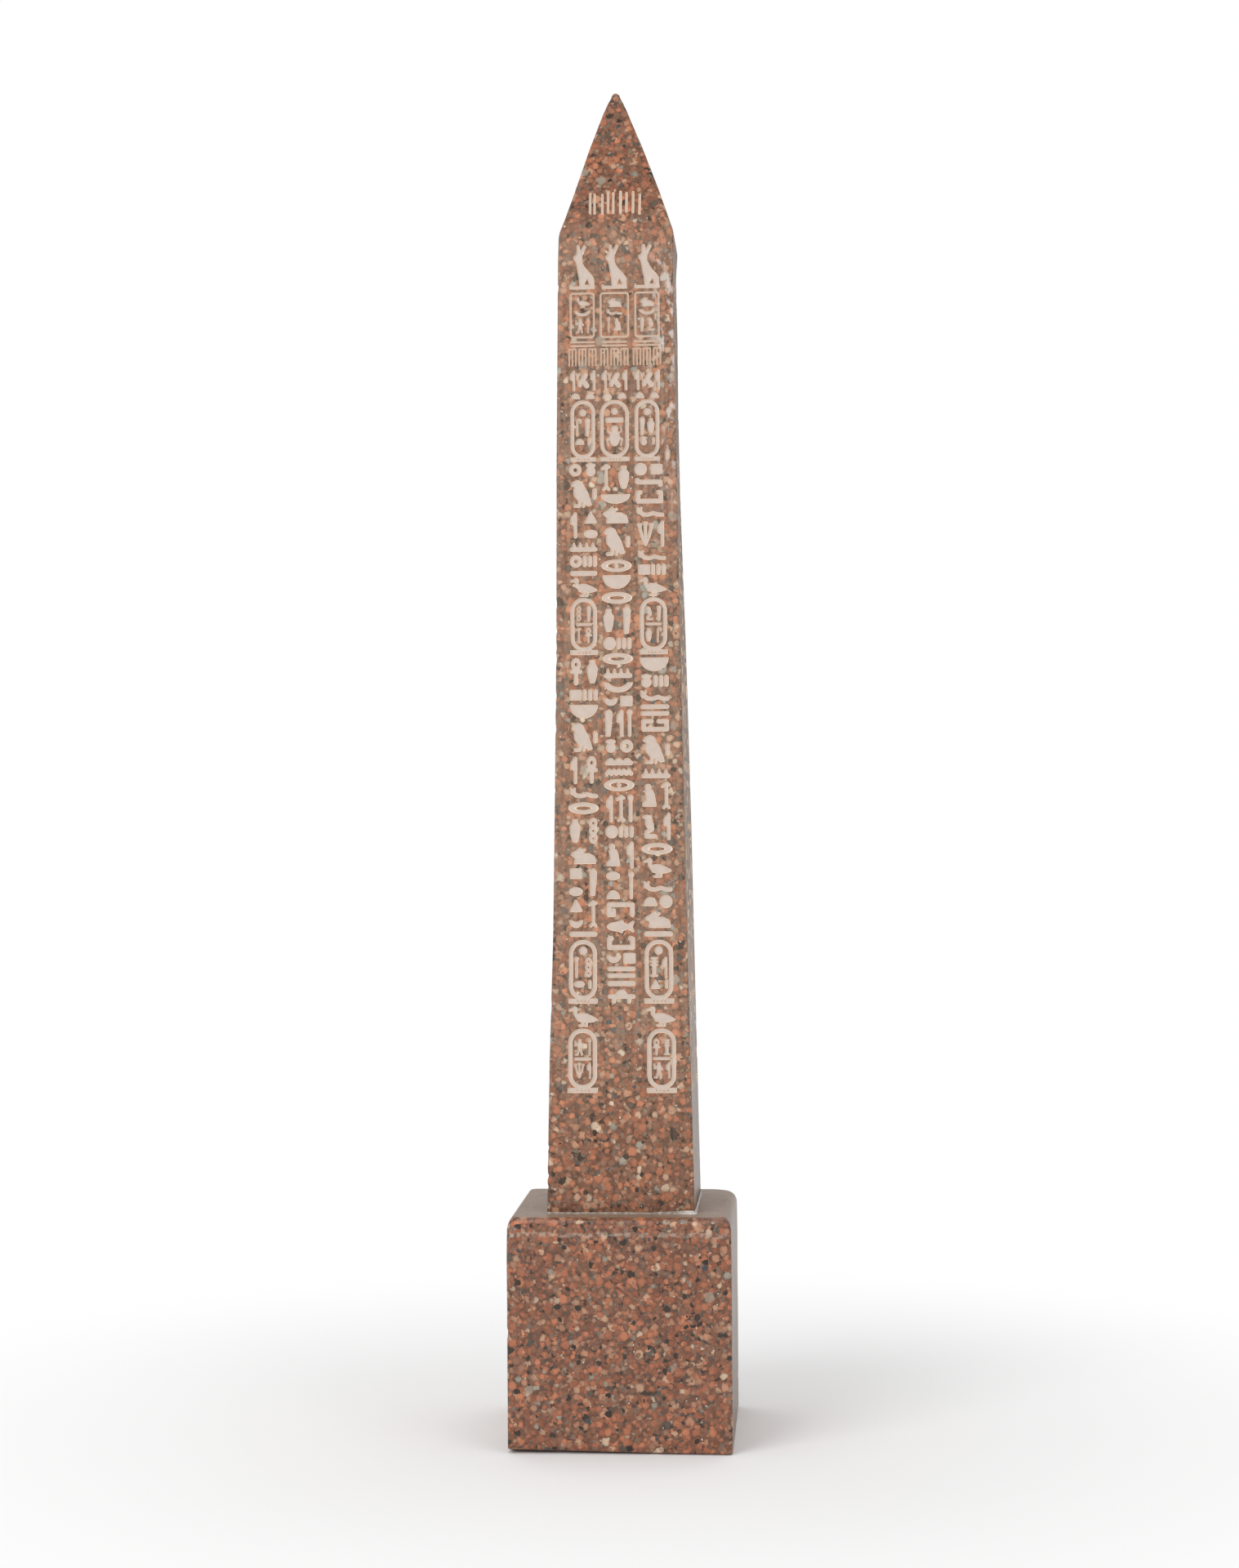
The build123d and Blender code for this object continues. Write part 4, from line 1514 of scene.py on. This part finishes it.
def worn_plinth_point(x, y, z):
    """A point of the square plinth, in millimetres, moved to where it lies on the worn one, in metres.

    The foot is worn, the top edge is squarer at the sides, the faces are uneven, and chips are lost."""
    left = min(max((PLINTH_HALF - x) / (2 * PLINTH_HALF), 0), 1)
    front = min(max(-y / PLINTH_HALF, 0), 1)
    foot = max(0.0, 1 - z / LIFT_HIGH) * front * left
    z += LIFT * foot * max(0.0, 1 - (y + PLINTH_HALF) / LIFT_DEEP)
    push = 0.06 + 0.06 * wander(0.05 * x, 0.05 * y, 0.05 * z)
    on_side = z < PLINTH_TOP - 0.01
    fallen = 0.0
    if on_side and z > PLINTH_TOP - TOP_ROUND:
        fallen = (PLINTH_HALF - max(abs(x), abs(y))) / TOP_ROUND
    x += min(fallen, 1.0) * (SQUARER_RIGHT * max(x, 0) + SQUARER_LEFT * min(x, 0)) / PLINTH_HALF
    scale = 1 - push / PLINTH_HALF if on_side else 1
    x, y = x * scale, y * scale
    if not on_side:
        z -= 0.05 + 0.05 * wander(0.07 * x, 0.07 * y, 5.0)
    for (cx, cy, cz), size, depth in PLINTH_CHIPS:
        near = math.dist((x, y, z), (cx, cy, cz)) / size
        if near < 1:
            bite = depth * (1 - near * near)
            x -= math.copysign(bite, x) * 0.7
            y -= math.copysign(bite, y) * 0.7
    return x * MM, y * MM, max(z, 0) * MM


def plinth_surface():
    """Points and faces of the plinth, from the underside up."""
    points, faces, rings = [], [], []
    for half, radii, level in plinth_rings():
        ring = square_ring(half, [min(radius, half) for radius in radii])
        rings.append(list(range(len(points), len(points) + len(ring))))
        points += [worn_plinth_point(x, y, level) for x, y in ring]
    for lower, upper in zip(rings, rings[1:]):
        faces += band(lower, upper)
    faces.append(tuple(reversed(rings[0])))
    faces.append(tuple(rings[-1]))
    return points, faces


print(len(plinth_rings()), "rings make the plinth")

# %% [markdown]
# ## The bead of resin
#
# Resin seems to have squeezed out from under the shaft: it shows as a thin whitish line along the
# front and a thick drop at the right corner. The bead is one closed tube that runs round the foot.
# Its section has a toe on the plinth, a lip on the shaft and a hollow face between them, and noise
# along the way makes both of them wander.

# %% Sections of the bead, in millimetres
BEAD_STEPS = 6
THICK_CORNER = Vector((26.0, -24.5))  # the drop at the front right
THICK_REACH = 9.0
BED_THICKNESS = FOOT_LEVEL - PLINTH_TOP  # the film of resin between the two stones
BEAD_SINK = 0.1  # how far the toe lies under the top of the plinth
BEAD_INSIDE = 0.6  # how far the tube reaches in under the shaft
BEAD_LEAST = 0.12  # what its reach and its climb have everywhere


def bead_point(x, y, share, outward):
    """A point of the bead's face: share 0 is the toe on the plinth and 1 the lip on the shaft."""
    thick = math.exp(-(math.dist((x, y), THICK_CORNER) / THICK_REACH) ** 2)
    spread = 0.30 + 0.22 * wander(0.35 * x, 0.35 * y, 1.0) + 0.1 * wander(1.2 * x, 1.2 * y, 2.0)
    spread += 0.35 * thick
    climb = 0.18 + 0.20 * wander(0.3 * x, 0.3 * y, 4.0) + 0.10 * wander(1.1 * x, 1.1 * y, 6.0)
    climb += 0.6 * thick
    hollow = (1 - share) ** 2.0
    reach = BEAD_LEAST + max(spread, 0.15) * hollow
    return (x + outward[0] * reach, y + outward[1] * reach,
            PLINTH_TOP - BEAD_SINK + (BEAD_LEAST + max(climb, 0.05) + BED_THICKNESS) * share ** 1.6)


def bead_surface():
    """Points and faces of the bead, which closes on itself inside the joint."""
    path = square_ring(FOOT_HALF, [ARRIS_ROUND] * 4)
    sections, points = [], []
    for (x, y), (bx, by), (ax, ay) in zip(path, path[-1:] + path[:-1], path[1:] + path[:1]):
        length = math.hypot(ax - bx, ay - by)
        outward = ((ay - by) / length, (bx - ax) / length)
        section = [bead_point(x, y, share, outward) for share in np.linspace(0, 1, BEAD_STEPS + 1)]
        lip = section[-1][2]
        inner_x, inner_y = x - BEAD_INSIDE * outward[0], y - BEAD_INSIDE * outward[1]
        section += [(inner_x, inner_y, lip - 0.05), (inner_x, inner_y, PLINTH_TOP - BEAD_SINK)]
        sections.append(list(range(len(points), len(points) + len(section))))
        points += [settled(*point) for point in section]
    faces = []
    for here, there in zip(sections, sections[1:] + sections[:1]):
        faces += [tuple(reversed(face)) for face in band(here, there)]
    return points, faces


print("the bed is", round(BED_THICKNESS, 2), "mm thick, and with its bead the solid is",
      round(resin_high.z - resin_low.z, 2), "mm high")

# %% [markdown]
# ## Putting the pieces in place
#
# Each piece stands for one solid of the frame. The solid stays hidden in the scene, because the
# motion checks use it, and the piece says which body it rides on and which finish it takes.

# %% The three pieces
points, faces, zones, cuts = shaft_surface()
shaft = piece_from("shaft_stone", points, faces, zones, [shaft_granite, blasted], cuts)
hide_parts("shaft")

plinth_points, plinth_faces = plinth_surface()
plinth_zones = [STONE] * len(plinth_faces)
plinth = piece_from("plinth_stone", plinth_points, plinth_faces, plinth_zones, [plinth_granite])
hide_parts("plinth")

bead_points, bead_faces = bead_surface()
bead_zones = [STONE] * len(bead_faces)
bead = piece_from("resin_bead", bead_points, bead_faces, bead_zones, [resin])
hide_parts("resin_bed")

# %% [markdown]
# ## Floor, light and the finish
#
# The photograph shows the object on plain white. A light that is strong enough to burn a floor
# white would burn the stone too, so the floor is a pale diffuse surface near the object, where it
# catches the shadow, and fades into an even white further out. The world is fully white only where
# the camera looks at it, and dimmer where it lights the stone. The lamps are large and soft, as the
# faces of the stone show no hard highlight.

# %% Floor
FLOOR_SIZE = 6.0  # metres
FLOOR_WHITE = 0.93
FADE_FROM = 0.10  # metres from the axis
FADE_TO = 0.34
FLOOR_DROP = 0.00005  # metres, so that the floor and the underside don't share a plane

floor_recipe = Recipe("floor_white")
place = floor_recipe.node("ShaderNodeTexCoord", output="Object")
distance = floor_recipe.node("ShaderNodeVectorMath", {"operation": "LENGTH"}, {0: place}, output="Value")
camera_ray = floor_recipe.node("ShaderNodeLightPath", output="Is Camera Ray")
glossy_ray = floor_recipe.output_of(camera_ray, "Is Glossy Ray")
seen = floor_recipe.node("ShaderNodeMath", {"operation": "MAXIMUM"}, {0: camera_ray, 1: glossy_ray})
far = floor_recipe.ease(distance, FADE_FROM, FADE_TO)
matt = floor_recipe.node("ShaderNodeBsdfDiffuse", None, {"Color": (FLOOR_WHITE,) * 3 + (1,)})
even = floor_recipe.node("ShaderNodeEmission", None, {"Strength": 1.0})
blend = floor_recipe.node("ShaderNodeMixShader", None, {0: far * seen, 1: matt, 2: even})
floor_recipe.node("ShaderNodeOutputMaterial", None, {"Surface": blend})

floor_mesh = bpy.data.meshes.new("floor")
reach = FLOOR_SIZE / 2
floor_corners = [(-reach, -reach, 0), (reach, -reach, 0), (reach, reach, 0), (-reach, reach, 0)]
floor_mesh.from_pydata(floor_corners, [], [(0, 1, 2, 3)])
floor_mesh.materials.append(floor_recipe.made)
floor = bpy.data.objects.new("floor", floor_mesh)
floor.location.z = -FLOOR_DROP
bpy.context.scene.collection.objects.link(floor)
print("the floor fades to white from", FADE_FROM, "to", FADE_TO, "m off the axis")

# %% World and lamps
WORLD_STRENGTH = 0.56
WHITE = (1, 1, 1, 1)
LAMP_TARGET = Vector((0, 0, 0.2))

studio = Recipe("studio", kept_among=bpy.data.worlds)
lighting = studio.node("ShaderNodeBackground", None, {"Color": WHITE, "Strength": WORLD_STRENGTH})
backdrop = studio.node("ShaderNodeBackground", None, {"Color": WHITE, "Strength": 1.0})
camera_ray = studio.node("ShaderNodeLightPath", output="Is Camera Ray")
blend = studio.node("ShaderNodeMixShader", None, {0: camera_ray, 1: lighting, 2: backdrop})
studio.node("ShaderNodeOutputWorld", None, {"Surface": blend})
bpy.context.scene.world = studio.made


def softbox(name, place, size, power):
    """A square lamp at a place, with its side in metres and its power in watts, facing the shaft."""
    lamp = bpy.data.lights.new(name, "AREA")
    lamp.size = size
    lamp.energy = power
    made = bpy.data.objects.new(name, lamp)
    made.location = place
    made.rotation_euler = (LAMP_TARGET - Vector(place)).to_track_quat("-Z", "Y").to_euler()
    bpy.context.scene.collection.objects.link(made)
    print(name, "gives", power, "W")


softbox("front_left_softbox", (-1.1, -1.5, 1.1), size=1.2, power=16.5)
softbox("front_right_softbox", (1.3, -1.3, 0.9), size=1.0, power=3.5)
softbox("top_softbox", (0.0, 0.1, 1.6), size=1.0, power=6.5)
bpy.context.scene.view_settings.view_transform = "Standard"
